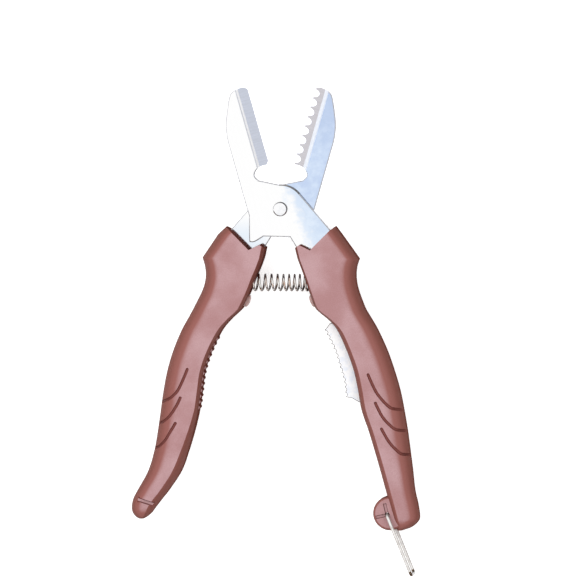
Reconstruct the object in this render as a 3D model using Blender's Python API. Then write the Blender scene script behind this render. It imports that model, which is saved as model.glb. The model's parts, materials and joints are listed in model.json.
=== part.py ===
"""Hand-held nut cutter: two crossed steel plates on one pivot, moulded grips, a return spring between
the grips, a serrated side blade in one of them and a wire bail that holds the tool shut.

Metres, +Z up. Every shape is drawn about the pivot, with the jaws towards +Y, and the finished tool
is then moved so that the middle of its underside is at the world origin.
"""

from math import atan2, cos, degrees, hypot, pi, radians, sin

import bmesh
import bpy
from mathutils import Matrix, Vector

# Clearances
SEAT_GAP = 0.0003
RUN_GAP = 0.00015
OVERRUN = 0.004
MERGE = 0.00001

# Plates: one blank, mirrored for the second plate
PLATE_THICK = 0.0025
PLATE_GAP = 0.0003
HUB_RADIUS = 0.0102
JAW_REACH = 0.0535
JAW_WIDTH = 0.0136
JAW_ANGLE = radians(16.0)
HUB_FACETS = 14
HUB_TOP_ANGLE = radians(93.0)
HUB_TANGENT = radians(60.0)

# Ground edge of each jaw: a long flat, then a short steep shoulder up to the face
EDGE_THICK = 0.0006
PLAIN_PROUD = 0.0004
PLAIN_GRIND_WIDTH = 0.0036
TOOTHED_GRIND_WIDTH = 0.0041
GRIND_THICK = 0.0012
SHOULDER_WIDTH = 0.0011

# Teeth of the second plate
TOOTH_PITCH = 0.0041
TOOTH_DEPTH = 0.0022
TOOTH_LAND = 0.0006
GULLET_FACETS = 6

# Tang, the part of a plate that is inside its grip
TANG_DEPTH = 0.0435
TANG_KEY_RADIUS = 0.0024

# Grips
GRIP_END = 0.1307
RIGHT_GRIP_END = 0.1349
GRIP_HALF_THICK = 0.0080
GRIP_SPREAD = 0.0630
ROW_STEPS = 2
INNER_ROUND = 0.0014
NECK_ROUND = 0.0076
HAND_ROUND = 0.0102
ROUND_START = 0.0190
ROUND_RISE = 0.0380
OUTER_ROUND_MOST_SHARE = 0.65
INNER_ROUND_MOST_SHARE = 0.30

# Finger ribs inside the left grip
RIB_COUNT = 13
RIB_RADIUS = 0.0008
RIB_HALF_LENGTH = 0.0050
RIB_TOP = 0.0545
RIB_BOTTOM = 0.0835
RIB_SUNK_SHARE = 0.4
RIB_FACETS = 8

# Swept grooves on both faces of both grips
GROOVE_RADIUS = 0.00065

# Return spring, in a blind pocket of each grip
SPRING_RADIUS = 0.0038
SPRING_WIRE = 0.0009
SPRING_TURNS = 10
SPRING_POINTS = 9
SPRING_DOWN = 0.0310
POCKET_DEPTH = 0.0030
POCKET_GAP = 0.0005

# Rubber bumpers that meet when the tool is shut
BUMPER_RADIUS = 0.0027
BUMPER_PROUD = 0.0016
BUMPER_DEPTH = 0.0020
BUMPER_DOWN = 0.0386
BUMPER_TILT = radians(21.0)
BUMPER_RIM_SHARE = 0.3
BUMPER_RINGS = 4

# Side blade in the right grip
SIDE_THICK = 0.0012
SIDE_TOP = 0.0479
SIDE_BOTTOM = 0.0792
SIDE_ROOT = 0.0050
SIDE_TEETH = 14
SIDE_TOOTH_DEPTH = 0.0006
SIDE_DIP_SHARE = 0.55
SIDE_FOOT_SUNK_SHARE = 0.4
SIDE_KEY_RADIUS = 0.0011
SMALL_FACETS = 12

# Pivot
BOLT_RADIUS = 0.0022
BOLT_HEAD_RADIUS = 0.0030
BOLT_HEAD_THICK = 0.0011
BOLT_HEAD_CHAMFER = 0.0003
WASHER_RADIUS = 0.0048
WASHER_THICK = 0.0008
NUT_FLATS_RADIUS = 0.0042
NUT_THICK = 0.0024
BOLT_TAIL = 0.0004
ROUND_FACETS = 28

# Latch: a disc at the right grip's end carries a U of wire
LUG_OUT = 0.0453
LUG_DOWN = 0.1282
LUG_RADIUS = 0.0072
LUG_SHIFT = 0.0011
LUG_RISE = 0.0006
LUG_HALF_THICK = 0.0046
LUG_BORE = 0.0010
REST_GROOVE_WIDTH = 0.0014
REST_GROOVE_DEPTH = 0.0008
BAIL_WIRE = 0.0014
BAIL_LENGTH = 0.0272
BAIL_HALF_WIDTH = 0.0071
BAIL_BEND = 0.0016
BEND_STEPS = 3
BAIL_TOE = 0.0026
BAIL_ANGLE = radians(-67.8)
PARK_ANGLE = radians(104.0)
SHUT_ANGLE = radians(193.0)
CATCH_OUT = 0.0552
CATCH_DOWN = 0.1238
CATCH_ANGLE = radians(-17.0)
CATCH_LENGTH = 0.0150
CATCH_WIDTH = 0.0017
CATCH_FLOOR = 0.0046

# Back of the jaw, from the tip: (share of JAW_WIDTH behind the edge, share of JAW_REACH)
JAW_BACK_SHARES = [
    (0.00, 0.983), (0.09, 0.997), (0.21, 1.000), (0.445, 0.987), (0.59, 0.948), (0.78, 0.843),
    (0.905, 0.763), (0.97, 0.690), (1.00, 0.620), (1.00, 0.080),
]

# Heel and relief below it, and the start of the teeth and of the ground strip, as shares of HUB_RADIUS
JAW_HEEL_SHARE = 2.04
TOOTH_START_SHARE = 1.902
THROAT_SHARES = [
    (-0.90, 1.17), (-1.05, 1.32), (-1.06, 1.47), (-0.95, 1.65), (-0.80, 1.76), (-0.58, 1.82),
]
GRIND_START_SHARE = 1.5

# Foot of the plate under the pivot with its stop lobe, as shares of HUB_RADIUS
FOOT_SHARES = [
    (-1.29, -0.27), (-1.285, -1.27), (-1.23, -1.36), (-1.13, -1.37), (-1.00, -1.32), (-0.70, -1.13),
    (0.40, -1.15), (0.676, -1.598),
]

# Tang from the foot round its end to the hub: (out, down) as shares of TANG_DEPTH
TANG_SHARES = [
    (0.221, -0.425), (0.368, -0.575), (0.375, -0.758), (0.448, -0.885), (0.510, -0.985), (0.560, -1.000),
    (0.700, -1.000), (0.735, -0.970), (0.690, -0.850), (0.644, -0.690), (0.632, -0.460), (0.543, -0.283),
    (0.467, -0.182),
]
TANG_KEY_SHARES = (0.529, -0.747)

# Rows of the left grip: (down, outer edge, inner edge, half thickness) as shares of the grip's end,
# the spread, the spread and the half thickness
LEFT_ROW_SHARES = [
    (0.055, 0.359, 0.062, 1.00), (0.082, 0.419, 0.080, 1.00), (0.157, 0.524, 0.112, 1.00),
    (0.189, 0.506, 0.137, 1.00), (0.223, 0.503, 0.167, 1.00), (0.262, 0.524, 0.198, 1.00),
    (0.312, 0.575, 0.246, 1.00), (0.328, 0.592, 0.270, 1.00), (0.356, 0.624, 0.332, 1.00),
    (0.392, 0.665, 0.394, 1.00), (0.457, 0.721, 0.463, 1.00), (0.521, 0.760, 0.509, 1.00),
    (0.586, 0.786, 0.529, 1.00), (0.651, 0.805, 0.548, 1.00), (0.715, 0.824, 0.578, 0.99),
    (0.780, 0.848, 0.617, 0.95), (0.845, 0.889, 0.665, 0.88), (0.905, 0.957, 0.745, 0.80),
    (0.932, 0.987, 0.789, 0.76), (0.954, 0.999, 0.824, 0.71), (0.968, 1.000, 0.846, 0.67),
    (0.979, 0.995, 0.862, 0.61), (0.988, 0.984, 0.881, 0.53), (0.994, 0.972, 0.897, 0.46),
    (0.997, 0.964, 0.907, 0.39), (1.000, 0.952, 0.918, 0.31),
]
RIGHT_ROW_SHARES = [
    (0.053, 0.372, 0.062, 1.00), (0.078, 0.412, 0.080, 1.00), (0.154, 0.529, 0.119, 1.00),
    (0.181, 0.511, 0.141, 1.00), (0.215, 0.508, 0.168, 1.00), (0.252, 0.523, 0.194, 1.00),
    (0.300, 0.561, 0.231, 1.00), (0.316, 0.577, 0.255, 1.00), (0.346, 0.616, 0.332, 1.00),
    (0.377, 0.654, 0.387, 1.00), (0.439, 0.715, 0.448, 1.00), (0.501, 0.762, 0.495, 1.00),
    (0.563, 0.801, 0.524, 1.00), (0.625, 0.828, 0.548, 1.00), (0.688, 0.851, 0.594, 0.99),
    (0.750, 0.869, 0.634, 0.95), (0.812, 0.886, 0.672, 0.88), (0.874, 0.901, 0.708, 0.80),
    (0.918, 0.922, 0.734, 0.78), (0.958, 0.933, 0.756, 0.74), (0.975, 0.916, 0.766, 0.68),
    (0.990, 0.877, 0.775, 0.56), (1.000, 0.817, 0.783, 0.40),
]
CORNER_ROW = 2

# Half of a grip's section, from the middle of its outer side: share of the outer rounding, share of
# the half thickness; then the same for the inner side
OUTER_SECTION_SHARES = [(0.00, 0.26), (0.14, 0.58), (0.46, 0.88), (1.00, 1.00)]
INNER_SECTION_SHARES = [(1.00, 1.00), (0.30, 0.88), (0.00, 0.64)]

# Mouth of a grip around its tang, (out, down) as shares of the grip's spread
MOUTH_SHARES = [
    (0.410, -0.080), (0.335, -0.140), (0.205, -0.271), (0.133, -0.236), (0.104, -0.256), (0.020, -0.256),
    (0.020, -0.060),
]

# Swept grooves: (out as a share of GRIP_SPREAD, down as a share of GRIP_END), from the face outwards
LEFT_GROOVE_SHARES = [
    [(0.615, 0.515), (0.645, 0.550), (0.683, 0.586), (0.735, 0.609), (0.794, 0.622)],
    [(0.662, 0.607), (0.692, 0.636), (0.739, 0.668), (0.786, 0.686), (0.824, 0.694)],
    [(0.695, 0.689), (0.729, 0.716), (0.767, 0.745), (0.814, 0.766), (0.854, 0.774)],
]
RIGHT_GROOVE_SHARES = [
    [(0.595, 0.529), (0.647, 0.583), (0.712, 0.622), (0.759, 0.638), (0.844, 0.644)],
    [(0.644, 0.620), (0.688, 0.662), (0.747, 0.694), (0.794, 0.707), (0.874, 0.711)],
    [(0.685, 0.703), (0.735, 0.745), (0.794, 0.776), (0.829, 0.785), (0.899, 0.788)],
]

# Side blade: its toothed edge, top to bottom, (out, down) as shares of SIDE_BOTTOM
SIDE_EDGE_SHARES = [(0.232, -0.645), (0.282, -0.750), (0.309, -0.833), (0.332, -0.912), (0.343, -0.998)]
SIDE_TOP_SHARES = (0.262, -0.605)
SIDE_FOOT_SHARES = [(0.378, -1.003), (0.419, -1.026)]
SIDE_KEY_ROW_SHARES = [0.30, 0.74]


def clear_scene():
    """Remove every object that a new file starts with."""
    for obj in list(bpy.data.objects):
        bpy.data.objects.remove(obj, do_unlink=True)


def make_collection(name):
    """A collection in the scene for one kind of object."""
    collection = bpy.data.collections.new(name)
    bpy.context.scene.collection.children.link(collection)
    return collection


def make_material(name, colour, roughness, metallic):
    """Principled material with one colour, roughness and metallic value."""
    material = bpy.data.materials.new(name)
    material.use_nodes = True
    shader = material.node_tree.nodes["Principled BSDF"]
    shader.inputs["Base Color"].default_value = (*colour, 1.0)
    shader.inputs["Roughness"].default_value = roughness
    shader.inputs["Metallic"].default_value = metallic
    material.diffuse_color = (*colour, 1.0)
    return material


def add_object(name, mesh, material=None, parent=None):
    """Link a mesh as a piece of the tool, under its joint's empty."""
    obj = bpy.data.objects.new(name, mesh)
    TOOL.objects.link(obj)
    if material:
        mesh.materials.clear()
        mesh.materials.append(material)
    obj.parent = parent
    return obj


def add_cutter(name, mesh, parent=None):
    """Link a mesh as a cutter, which isn't part of the tool."""
    obj = bpy.data.objects.new(name, mesh)
    CUTTERS.objects.link(obj)
    obj.hide_render = True
    obj.display_type = "WIRE"
    obj.parent = parent
    return obj


def boolean(obj, other, operation="DIFFERENCE"):
    """Cut or join a piece with another object."""
    modifier = obj.modifiers.new(f"{operation.lower()} {other.name}", "BOOLEAN")
    modifier.operation = operation
    modifier.object = other
    modifier.solver = "EXACT"


def bmesh_to_mesh(name, bm):
    """Weld, face outwards and store a bmesh."""
    bmesh.ops.remove_doubles(bm, verts=bm.verts, dist=MERGE)
    bmesh.ops.recalc_face_normals(bm, faces=bm.faces)
    mesh = bpy.data.meshes.new(name)
    bm.to_mesh(mesh)
    bm.free()
    return mesh


def curve_to_mesh(name, curve):
    """Evaluate a curve, weld its caps and return the mesh."""
    holder = bpy.data.objects.new(name, curve)
    bpy.context.scene.collection.objects.link(holder)
    bpy.context.view_layer.update()
    evaluated = holder.evaluated_get(bpy.context.evaluated_depsgraph_get())
    source = bpy.data.meshes.new_from_object(evaluated)
    bm = bmesh.new()
    bm.from_mesh(source)
    bpy.data.objects.remove(holder, do_unlink=True)
    return bmesh_to_mesh(name, bm)


def flat_mesh(name, loops, low, high):
    """Flat plate between two heights, from closed outlines, where inner ones are holes."""
    curve = bpy.data.curves.new(name, "CURVE")
    curve.dimensions = "2D"
    curve.fill_mode = "BOTH"
    curve.extrude = (high - low) / 2
    for loop in loops:
        spline = curve.splines.new("POLY")
        spline.points.add(len(loop) - 1)
        spline.use_cyclic_u = True
        for point, (x, y) in zip(spline.points, loop):
            point.co = (x, y, 0, 1)
    mesh = curve_to_mesh(name, curve)
    mesh.transform(Matrix.Translation((0, 0, (high + low) / 2)))
    return mesh


def wire_mesh(name, points, radius):
    """Round wire along a line of points, with closed ends."""
    curve = bpy.data.curves.new(name, "CURVE")
    curve.dimensions = "3D"
    curve.bevel_depth = radius
    curve.bevel_resolution = 1
    curve.use_fill_caps = True
    spline = curve.splines.new("POLY")
    spline.points.add(len(points) - 1)
    for point, place in zip(spline.points, points):
        point.co = (*place, 1)
    return curve_to_mesh(name, curve)


def cylinder_mesh(name, radius, low, high, facets=ROUND_FACETS, centre=(0, 0)):
    """Upright cylinder between two heights."""
    bm = bmesh.new()
    place = Matrix.Translation((*centre, (low + high) / 2))
    bmesh.ops.create_cone(
        bm, cap_ends=True, segments=facets, radius1=radius, radius2=radius, depth=high - low, matrix=place
    )
    return bmesh_to_mesh(name, bm)


def turned_mesh(name, profile, facets):
    """Solid turned about Z from a profile of (radius, height) that starts and ends on the axis."""
    bm = bmesh.new()
    verts = [bm.verts.new((radius, 0, height)) for radius, height in profile]
    edges = [bm.edges.new(pair) for pair in zip(verts, verts[1:])]
    bmesh.ops.spin(
        bm, geom=verts + edges, cent=(0, 0, 0), axis=(0, 0, 1), angle=2 * pi, steps=facets, use_merge=True
    )
    return bmesh_to_mesh(name, bm)


def circle(centre, radius, facets):
    """Points of a circle."""
    return [
        (centre[0] + radius * cos(2 * pi * i / facets), centre[1] + radius * sin(2 * pi * i / facets))
        for i in range(facets)
    ]


def smooth_between(before, start, end, after, share):
    """Catmull-Rom value between start and end."""
    return 0.5 * (
        2 * start
        + (end - before) * share
        + (2 * before - 5 * start + 4 * end - after) * share**2
        + (3 * start - before - 3 * end + after) * share**3
    )


def smooth_rows(rows, steps, corner=0):
    """Put smooth rows between the given ones, after a corner row, and straight ones before it."""
    result = []
    for i, (start, end) in enumerate(zip(rows, rows[1:])):
        before = rows[i - 1] if i > corner else start
        after = rows[i + 2] if i + 2 < len(rows) else end
        for step in range(steps if i >= corner else 1):
            share = step / steps
            parts = zip(before, start, end, after)
            result.append([smooth_between(b, s, e, a, share) for b, s, e, a in parts])
    return result + [list(rows[-1])]


def turn(point, angle):
    """Turn a flat point about the pivot."""
    x, y = point
    return (x * cos(angle) - y * sin(angle), x * sin(angle) + y * cos(angle))


def mirrored(points):
    """The same outline on the other side of the tool, still in one sense."""
    return [(-x, y) for x, y in reversed(points)]


def edge_line(toothed):
    """Working edge of the left jaw from heel to tip, in the jaw's own frame."""
    if not toothed:
        return [(PLAIN_PROUD, HUB_RADIUS * JAW_HEEL_SHARE)]
    points = []
    half_gullet = (TOOTH_PITCH - TOOTH_LAND) / 2
    start = HUB_RADIUS * TOOTH_START_SHARE
    gullets = int((JAW_REACH * JAW_BACK_SHARES[0][1] - start) / TOOTH_PITCH)
    for tooth in range(gullets + 1):
        tip = start + tooth * TOOTH_PITCH
        points.append((0, tip))
        if tooth < gullets:
            for i in range(GULLET_FACETS + 1):
                angle = pi * i / GULLET_FACETS
                along = tip + TOOTH_LAND + half_gullet * (1 - cos(angle))
                points.append((-TOOTH_DEPTH * sin(angle), along))
    return points


def hub_leave_angle():
    """Angle at which the hub's arc leaves for the tang."""
    return atan2(TANG_SHARES[-1][1], TANG_SHARES[-1][0]) + HUB_TANGENT


def plate_outline(toothed):
    """Outline of the plate whose jaw is on the left and whose tang goes down to the right."""
    back = [(-JAW_WIDTH * wide, JAW_REACH * along) for wide, along in JAW_BACK_SHARES]
    jaw = [turn(point, JAW_ANGLE) for point in edge_line(toothed) + back]
    foot = [(HUB_RADIUS * x, HUB_RADIUS * y) for x, y in FOOT_SHARES]
    tang = [(TANG_DEPTH * x, TANG_DEPTH * y) for x, y in TANG_SHARES]
    leave = hub_leave_angle()
    step = (HUB_TOP_ANGLE - leave) / HUB_FACETS
    hub = [turn((HUB_RADIUS, 0), leave + step * i) for i in range(HUB_FACETS + 1)]
    throat = [(HUB_RADIUS * x, HUB_RADIUS * y) for x, y in THROAT_SHARES]
    return jaw + foot + tang + hub + throat


def grind_cutter(name, face, width):
    """Wedge along the left jaw's edge that leaves the ground flat and its shoulder, down from a face."""
    back = face - PLATE_THICK
    rise = PLATE_THICK - GRIND_THICK
    profile = [
        (OVERRUN, back + EDGE_THICK), (0, back + EDGE_THICK), (-width, back + GRIND_THICK),
        (-width - SHOULDER_WIDTH * (rise + OVERRUN) / rise, face + OVERRUN), (OVERRUN, face + OVERRUN),
    ]
    start = HUB_RADIUS * GRIND_START_SHARE
    bm = bmesh.new()
    verts = [bm.verts.new((x, start, z)) for x, z in profile]
    wedge = bm.faces.new(verts)
    moved = bmesh.ops.extrude_face_region(bm, geom=[wedge])["geom"]
    moved = [item for item in moved if isinstance(item, bmesh.types.BMVert)]
    bmesh.ops.translate(bm, verts=moved, vec=(0, JAW_REACH + OVERRUN - start, 0))
    bmesh.ops.rotate(bm, verts=bm.verts, matrix=Matrix.Rotation(JAW_ANGLE, 3, "Z"))
    return bmesh_to_mesh(name, bm)


def mirror_mesh(mesh):
    """Flip a mesh to the other side of the tool, with its faces still pointing out."""
    bm = bmesh.new()
    bm.from_mesh(mesh)
    bmesh.ops.transform(bm, matrix=Matrix.Scale(-1, 4, (1, 0, 0)), verts=bm.verts)
    return bmesh_to_mesh(mesh.name, bm)


def tang_key(side):
    """Centre of the moulded key through a tang's hole."""
    return (side * TANG_DEPTH * TANG_KEY_SHARES[0], TANG_DEPTH * TANG_KEY_SHARES[1])


def build_plate(name, toothed, low, parent):
    """One stamped plate with its pivot hole, tang hole and ground edge."""
    high = low + PLATE_THICK
    outline = plate_outline(toothed)
    if toothed:
        outline = mirrored(outline)
    pivot_hole = circle((0, 0), BOLT_RADIUS + RUN_GAP, ROUND_FACETS)
    key_hole = circle(tang_key(-1 if toothed else 1), TANG_KEY_RADIUS + SEAT_GAP, ROUND_FACETS)
    plate = add_object(name, flat_mesh(name, [outline, pivot_hole, key_hole], low, high), STEEL, parent)
    wedge = grind_cutter(f"{name}_grind", high, TOOTHED_GRIND_WIDTH if toothed else PLAIN_GRIND_WIDTH)
    if toothed:
        wedge = mirror_mesh(wedge)
    boolean(plate, add_cutter(f"{name}_grind", wedge, parent))
    return plate


def tang_slot(name, side, parent):
    """Cutter for the slot that a tang fills, with the key that stays through the tang's hole.

    The tang's outline runs anticlockwise, so its outward side is on the right of each edge.
    """
    tang = [(TANG_DEPTH * x, TANG_DEPTH * y) for x, y in TANG_SHARES]
    foot = [(HUB_RADIUS * x, HUB_RADIUS * y) for x, y in FOOT_SHARES[-2:]]
    loop = [turn((HUB_RADIUS, 0), hub_leave_angle())] + foot + tang
    wide = []
    for i, point in enumerate(loop):
        ahead = Vector(loop[(i + 1) % len(loop)]) - Vector(point)
        behind = Vector(point) - Vector(loop[i - 1])
        normals = [Vector((edge.y, -edge.x)).normalized() for edge in (ahead, behind)]
        outward = (normals[0] + normals[1]).normalized()
        wide.append(tuple(Vector(point) + outward * SEAT_GAP / outward.dot(normals[0])))
    if side < 0:
        wide = mirrored(wide)
    key = circle(tang_key(side), TANG_KEY_RADIUS, ROUND_FACETS)
    middle = side * (PLATE_GAP + PLATE_THICK) / 2
    half = PLATE_THICK / 2 + SEAT_GAP
    return add_cutter(name, flat_mesh(name, [wide, key], middle - half, middle + half), parent)


def grip_rows(side):
    """Rows of a grip in real sizes: down, outer edge, inner edge, half thickness."""
    shares = LEFT_ROW_SHARES if side < 0 else RIGHT_ROW_SHARES
    end = GRIP_END if side < 0 else RIGHT_GRIP_END
    rows = [(end * d, GRIP_SPREAD * o, GRIP_SPREAD * i, GRIP_HALF_THICK * h) for d, o, i, h in shares]
    smooth = smooth_rows(rows, ROW_STEPS, CORNER_ROW)
    return [(down, outer, inner, min(half, GRIP_HALF_THICK)) for down, outer, inner, half in smooth]


def outer_round(row):
    """Width of the rounding on a grip's outer side, which grows below the neck."""
    down, outer, inner, half = row
    growth = min(max((down - ROUND_START) / ROUND_RISE, 0), 1)
    wanted = NECK_ROUND + (HAND_ROUND - NECK_ROUND) * growth
    return min(wanted, (outer - inner) * OUTER_ROUND_MOST_SHARE)


def inner_round(row):
    """Width of the rounding on a grip's inner side."""
    down, outer, inner, half = row
    return min(INNER_ROUND, (outer - inner) * INNER_ROUND_MOST_SHARE)


def grip_section(row):
    """Front half of a grip's section, (out, height) from its outer side to its inner side."""
    down, outer, inner, half = row
    points = [(outer - outer_round(row) * share, half * high) for share, high in OUTER_SECTION_SHARES]
    return points + [(inner + inner_round(row) * share, half * high) for share, high in INNER_SECTION_SHARES]


def grip_mesh(name, side):
    """Loft of a grip through its rows."""
    bm = bmesh.new()
    rings = []
    for row in grip_rows(side):
        front = grip_section(row)
        ring = front + [(out, -high) for out, high in reversed(front)]
        rings.append([bm.verts.new((side * out, -row[0], high)) for out, high in ring])
    for upper, lower in zip(rings, rings[1:]):
        for i in range(len(upper)):
            j = (i + 1) % len(upper)
            bm.faces.new((upper[i], upper[j], lower[j], lower[i]))
    bm.faces.new(rings[0])
    bm.faces.new(reversed(rings[-1]))
    return bmesh_to_mesh(name, bm)


def row_at(side, down):
    """Row of a grip at any distance down from the pivot."""
    rows = grip_rows(side)
    for upper, lower in zip(rows, rows[1:]):
        if upper[0] <= down <= lower[0]:
            share = (down - upper[0]) / (lower[0] - upper[0])
            return [u + (v - u) * share for u, v in zip(upper, lower)]
    return rows[-1]


def face_height(side, out, down):
    """Height of a grip's front surface over a place on it."""
    section = grip_section(row_at(side, down))
    for (out_a, high_a), (out_b, high_b) in zip(section, section[1:]):
        if out_b <= out <= out_a:
            return high_a + (high_b - high_a) * (out_a - out) / max(out_a - out_b, MERGE)
    return section[0][1] if out > section[0][0] else section[-1][1]


def cut_swept_grooves(grip, side, parent):
    """Three swept grooves on each face, running out over the outer side."""
    table = LEFT_GROOVE_SHARES if side < 0 else RIGHT_GROOVE_SHARES
    for number, shares in enumerate(table, 1):
        path = smooth_rows([(GRIP_SPREAD * out, GRIP_END * down) for out, down in shares], 2)
        for face in (1, -1):
            points = []
            for out, down in path:
                points.append((side * out, -down, face * face_height(side, out, down)))
            name = f"{grip.name}_groove_{number}_{'front' if face > 0 else 'back'}"
            boolean(grip, add_cutter(name, wire_mesh(name, points, GROOVE_RADIUS), parent))


def cut_mouth(grip, side, parent):
    """V-shaped mouth of a grip around its tang."""
    loop = [(GRIP_SPREAD * out, GRIP_SPREAD * down) for out, down in MOUTH_SHARES]
    loop.append((GRIP_SPREAD * MOUTH_SHARES[0][0], GRIP_SPREAD * MOUTH_SHARES[-1][1]))
    if side < 0:
        loop = mirrored(loop)
    reach = GRIP_HALF_THICK + OVERRUN
    name = f"{grip.name}_mouth"
    boolean(grip, add_cutter(name, flat_mesh(name, [loop], -reach, reach), parent))


def sideways(side):
    """Turn that lays an upright piece along the spring, with its top towards the tool's middle."""
    return Matrix.Rotation(-side * pi / 2, 4, "Y")


def cut_spring_pocket(grip, side, parent):
    """Blind round pocket for one end of the spring."""
    mouth = row_at(side, SPRING_DOWN)[2]
    name = f"{grip.name}_spring_pocket"
    mesh = cylinder_mesh(name, SPRING_RADIUS + POCKET_GAP, -POCKET_DEPTH, OVERRUN)
    mesh.transform(Matrix.Translation((side * mouth, -SPRING_DOWN, 0)) @ sideways(side))
    boolean(grip, add_cutter(name, mesh, parent))


def bumper_place(side):
    """Frame of a bumper: on the grip's inner side, its top facing the other grip."""
    inner = row_at(side, BUMPER_DOWN)[2]
    lean = Matrix.Rotation(side * BUMPER_TILT, 4, "Z")
    return Matrix.Translation((side * inner, -BUMPER_DOWN, 0)) @ lean @ sideways(side)


def build_bumper(name, grip, side, parent):
    """Domed rubber bumper in a round pocket of its grip."""
    pocket = cylinder_mesh(f"{name}_pocket", BUMPER_RADIUS + SEAT_GAP, -BUMPER_DEPTH - SEAT_GAP, OVERRUN)
    pocket.transform(bumper_place(side))
    boolean(grip, add_cutter(f"{name}_pocket", pocket, parent))
    rim = BUMPER_PROUD * BUMPER_RIM_SHARE
    profile = [(0, -BUMPER_DEPTH), (BUMPER_RADIUS, -BUMPER_DEPTH), (BUMPER_RADIUS, rim)]
    for i in range(1, BUMPER_RINGS):
        angle = pi / 2 * i / BUMPER_RINGS
        profile.append((BUMPER_RADIUS * cos(angle), rim + (BUMPER_PROUD - rim) * sin(angle)))
    profile.append((0, BUMPER_PROUD))
    mesh = turned_mesh(name, profile, ROUND_FACETS)
    mesh.transform(bumper_place(side))
    return add_object(name, mesh, RUBBER, parent)


def add_finger_ribs(grip, parent):
    """Row of half-round ribs along the left grip's inner side, joined to it."""
    for number in range(RIB_COUNT):
        down = RIB_TOP + (RIB_BOTTOM - RIB_TOP) * number / (RIB_COUNT - 1)
        place = (-row_at(-1, down)[2] - RIB_RADIUS * RIB_SUNK_SHARE, -down)
        name = f"finger_rib_{number + 1}"
        mesh = cylinder_mesh(name, RIB_RADIUS, -RIB_HALF_LENGTH, RIB_HALF_LENGTH, RIB_FACETS, place)
        boolean(grip, add_cutter(name, mesh, parent), "UNION")


def bar_cutter(name, centre, angle, length, width, low, high, parent):
    """Straight groove with square ends, from a centre along an angle."""
    along = Vector((cos(angle), sin(angle)))
    across = Vector((-along.y, along.x)) * width / 2
    start = Vector(centre)
    end = start + along * length
    loop = [tuple(point) for point in (start - across, end - across, end + across, start + across)]
    return add_cutter(name, flat_mesh(name, [loop], low, high), parent)


def build_left_grip(parent):
    """Left grip, over the toothed plate's tang."""
    grip = add_object("left_grip", grip_mesh("left_grip", -1), PLASTIC, parent)
    add_finger_ribs(grip, parent)
    cut_mouth(grip, -1, parent)
    boolean(grip, tang_slot("left_tang_slot", -1, parent))
    cut_spring_pocket(grip, -1, parent)
    cut_swept_grooves(grip, -1, parent)
    middle = Vector((-CATCH_OUT, -CATCH_DOWN))
    start = middle - Vector(turn((CATCH_LENGTH / 2, 0), CATCH_ANGLE))
    for face in (1, -1):
        low, high = sorted((face * CATCH_FLOOR, face * (GRIP_HALF_THICK + OVERRUN)))
        name = f"catch_groove_{'front' if face > 0 else 'back'}"
        boolean(grip, bar_cutter(name, start, CATCH_ANGLE, CATCH_LENGTH, CATCH_WIDTH, low, high, parent))
    return grip


def side_blade_outline():
    """Side blade: toothed edge, top and foot outside the grip, root inside it."""
    edge = smooth_rows([(SIDE_BOTTOM * x, SIDE_BOTTOM * y) for x, y in SIDE_EDGE_SHARES], 8)
    lengths = [0]
    for a, b in zip(edge, edge[1:]):
        lengths.append(lengths[-1] + hypot(b[0] - a[0], b[1] - a[1]))

    def along(share):
        wanted = lengths[-1] * share
        for i, length in enumerate(lengths[1:]):
            if wanted <= length:
                part = (wanted - lengths[i]) / (length - lengths[i])
                a, b = Vector(edge[i]), Vector(edge[i + 1])
                return a + (b - a) * part, (b - a).normalized()
        return Vector(edge[-1]), (Vector(edge[-1]) - Vector(edge[-2])).normalized()

    toothed = []
    for tooth in range(SIDE_TEETH):
        tip, _ = along(tooth / SIDE_TEETH)
        dip, way = along((tooth + SIDE_DIP_SHARE) / SIDE_TEETH)
        toothed.append(tuple(tip))
        toothed.append(tuple(dip + Vector((-way.y, way.x)) * SIDE_TOOTH_DEPTH))
    toothed.append(tuple(edge[-1]))
    foot = [(SIDE_BOTTOM * x, SIDE_BOTTOM * y) for x, y in SIDE_FOOT_SHARES]
    root = []
    for i in range(5):
        down = SIDE_BOTTOM - (SIDE_BOTTOM - SIDE_TOP) * i / 4
        root.append((row_at(1, down)[2] + SIDE_ROOT, -down))
    top = (SIDE_BOTTOM * SIDE_TOP_SHARES[0], SIDE_BOTTOM * SIDE_TOP_SHARES[1])
    return toothed + foot + root + [top]


def side_keys():
    """Centres of the two moulded keys through the side blade's root."""
    centres = []
    for share in SIDE_KEY_ROW_SHARES:
        down = SIDE_TOP + (SIDE_BOTTOM - SIDE_TOP) * share
        centres.append((row_at(1, down)[2] + SIDE_ROOT / 2, -down))
    return centres


def build_side_blade(grip, parent):
    """Serrated blade in the right grip's inner side, and its slot."""
    outline = side_blade_outline()
    holes = [circle(centre, SIDE_KEY_RADIUS + SEAT_GAP, SMALL_FACETS) for centre in side_keys()]
    half = SIDE_THICK / 2
    blade = add_object("side_blade", flat_mesh("side_blade", [outline] + holes, -half, half), STEEL, parent)
    slot = []
    for i in range(9):
        down = SIDE_BOTTOM + 2 * SEAT_GAP - (SIDE_BOTTOM - SIDE_TOP + 2 * SEAT_GAP) * i / 8
        slot.append((row_at(1, down)[2] + SIDE_ROOT + SEAT_GAP * 1.5, -down))
    slot[-1] = (slot[-1][0], -SIDE_TOP + SEAT_GAP)
    foot = row_at(1, SIDE_BOTTOM)[2]
    low_end = slot[0][1] - OVERRUN
    slot = [(foot - OVERRUN, low_end), (foot + SIDE_ROOT * SIDE_FOOT_SUNK_SHARE, low_end)] + slot
    slot.append((row_at(1, SIDE_TOP)[2] - OVERRUN, -SIDE_TOP + SEAT_GAP))
    keys = [circle(centre, SIDE_KEY_RADIUS, SMALL_FACETS) for centre in side_keys()]
    cutter = flat_mesh("side_blade_slot", [slot] + keys, -half - SEAT_GAP, half + SEAT_GAP)
    boolean(grip, add_cutter("side_blade_slot", cutter, parent))
    return blade


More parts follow.
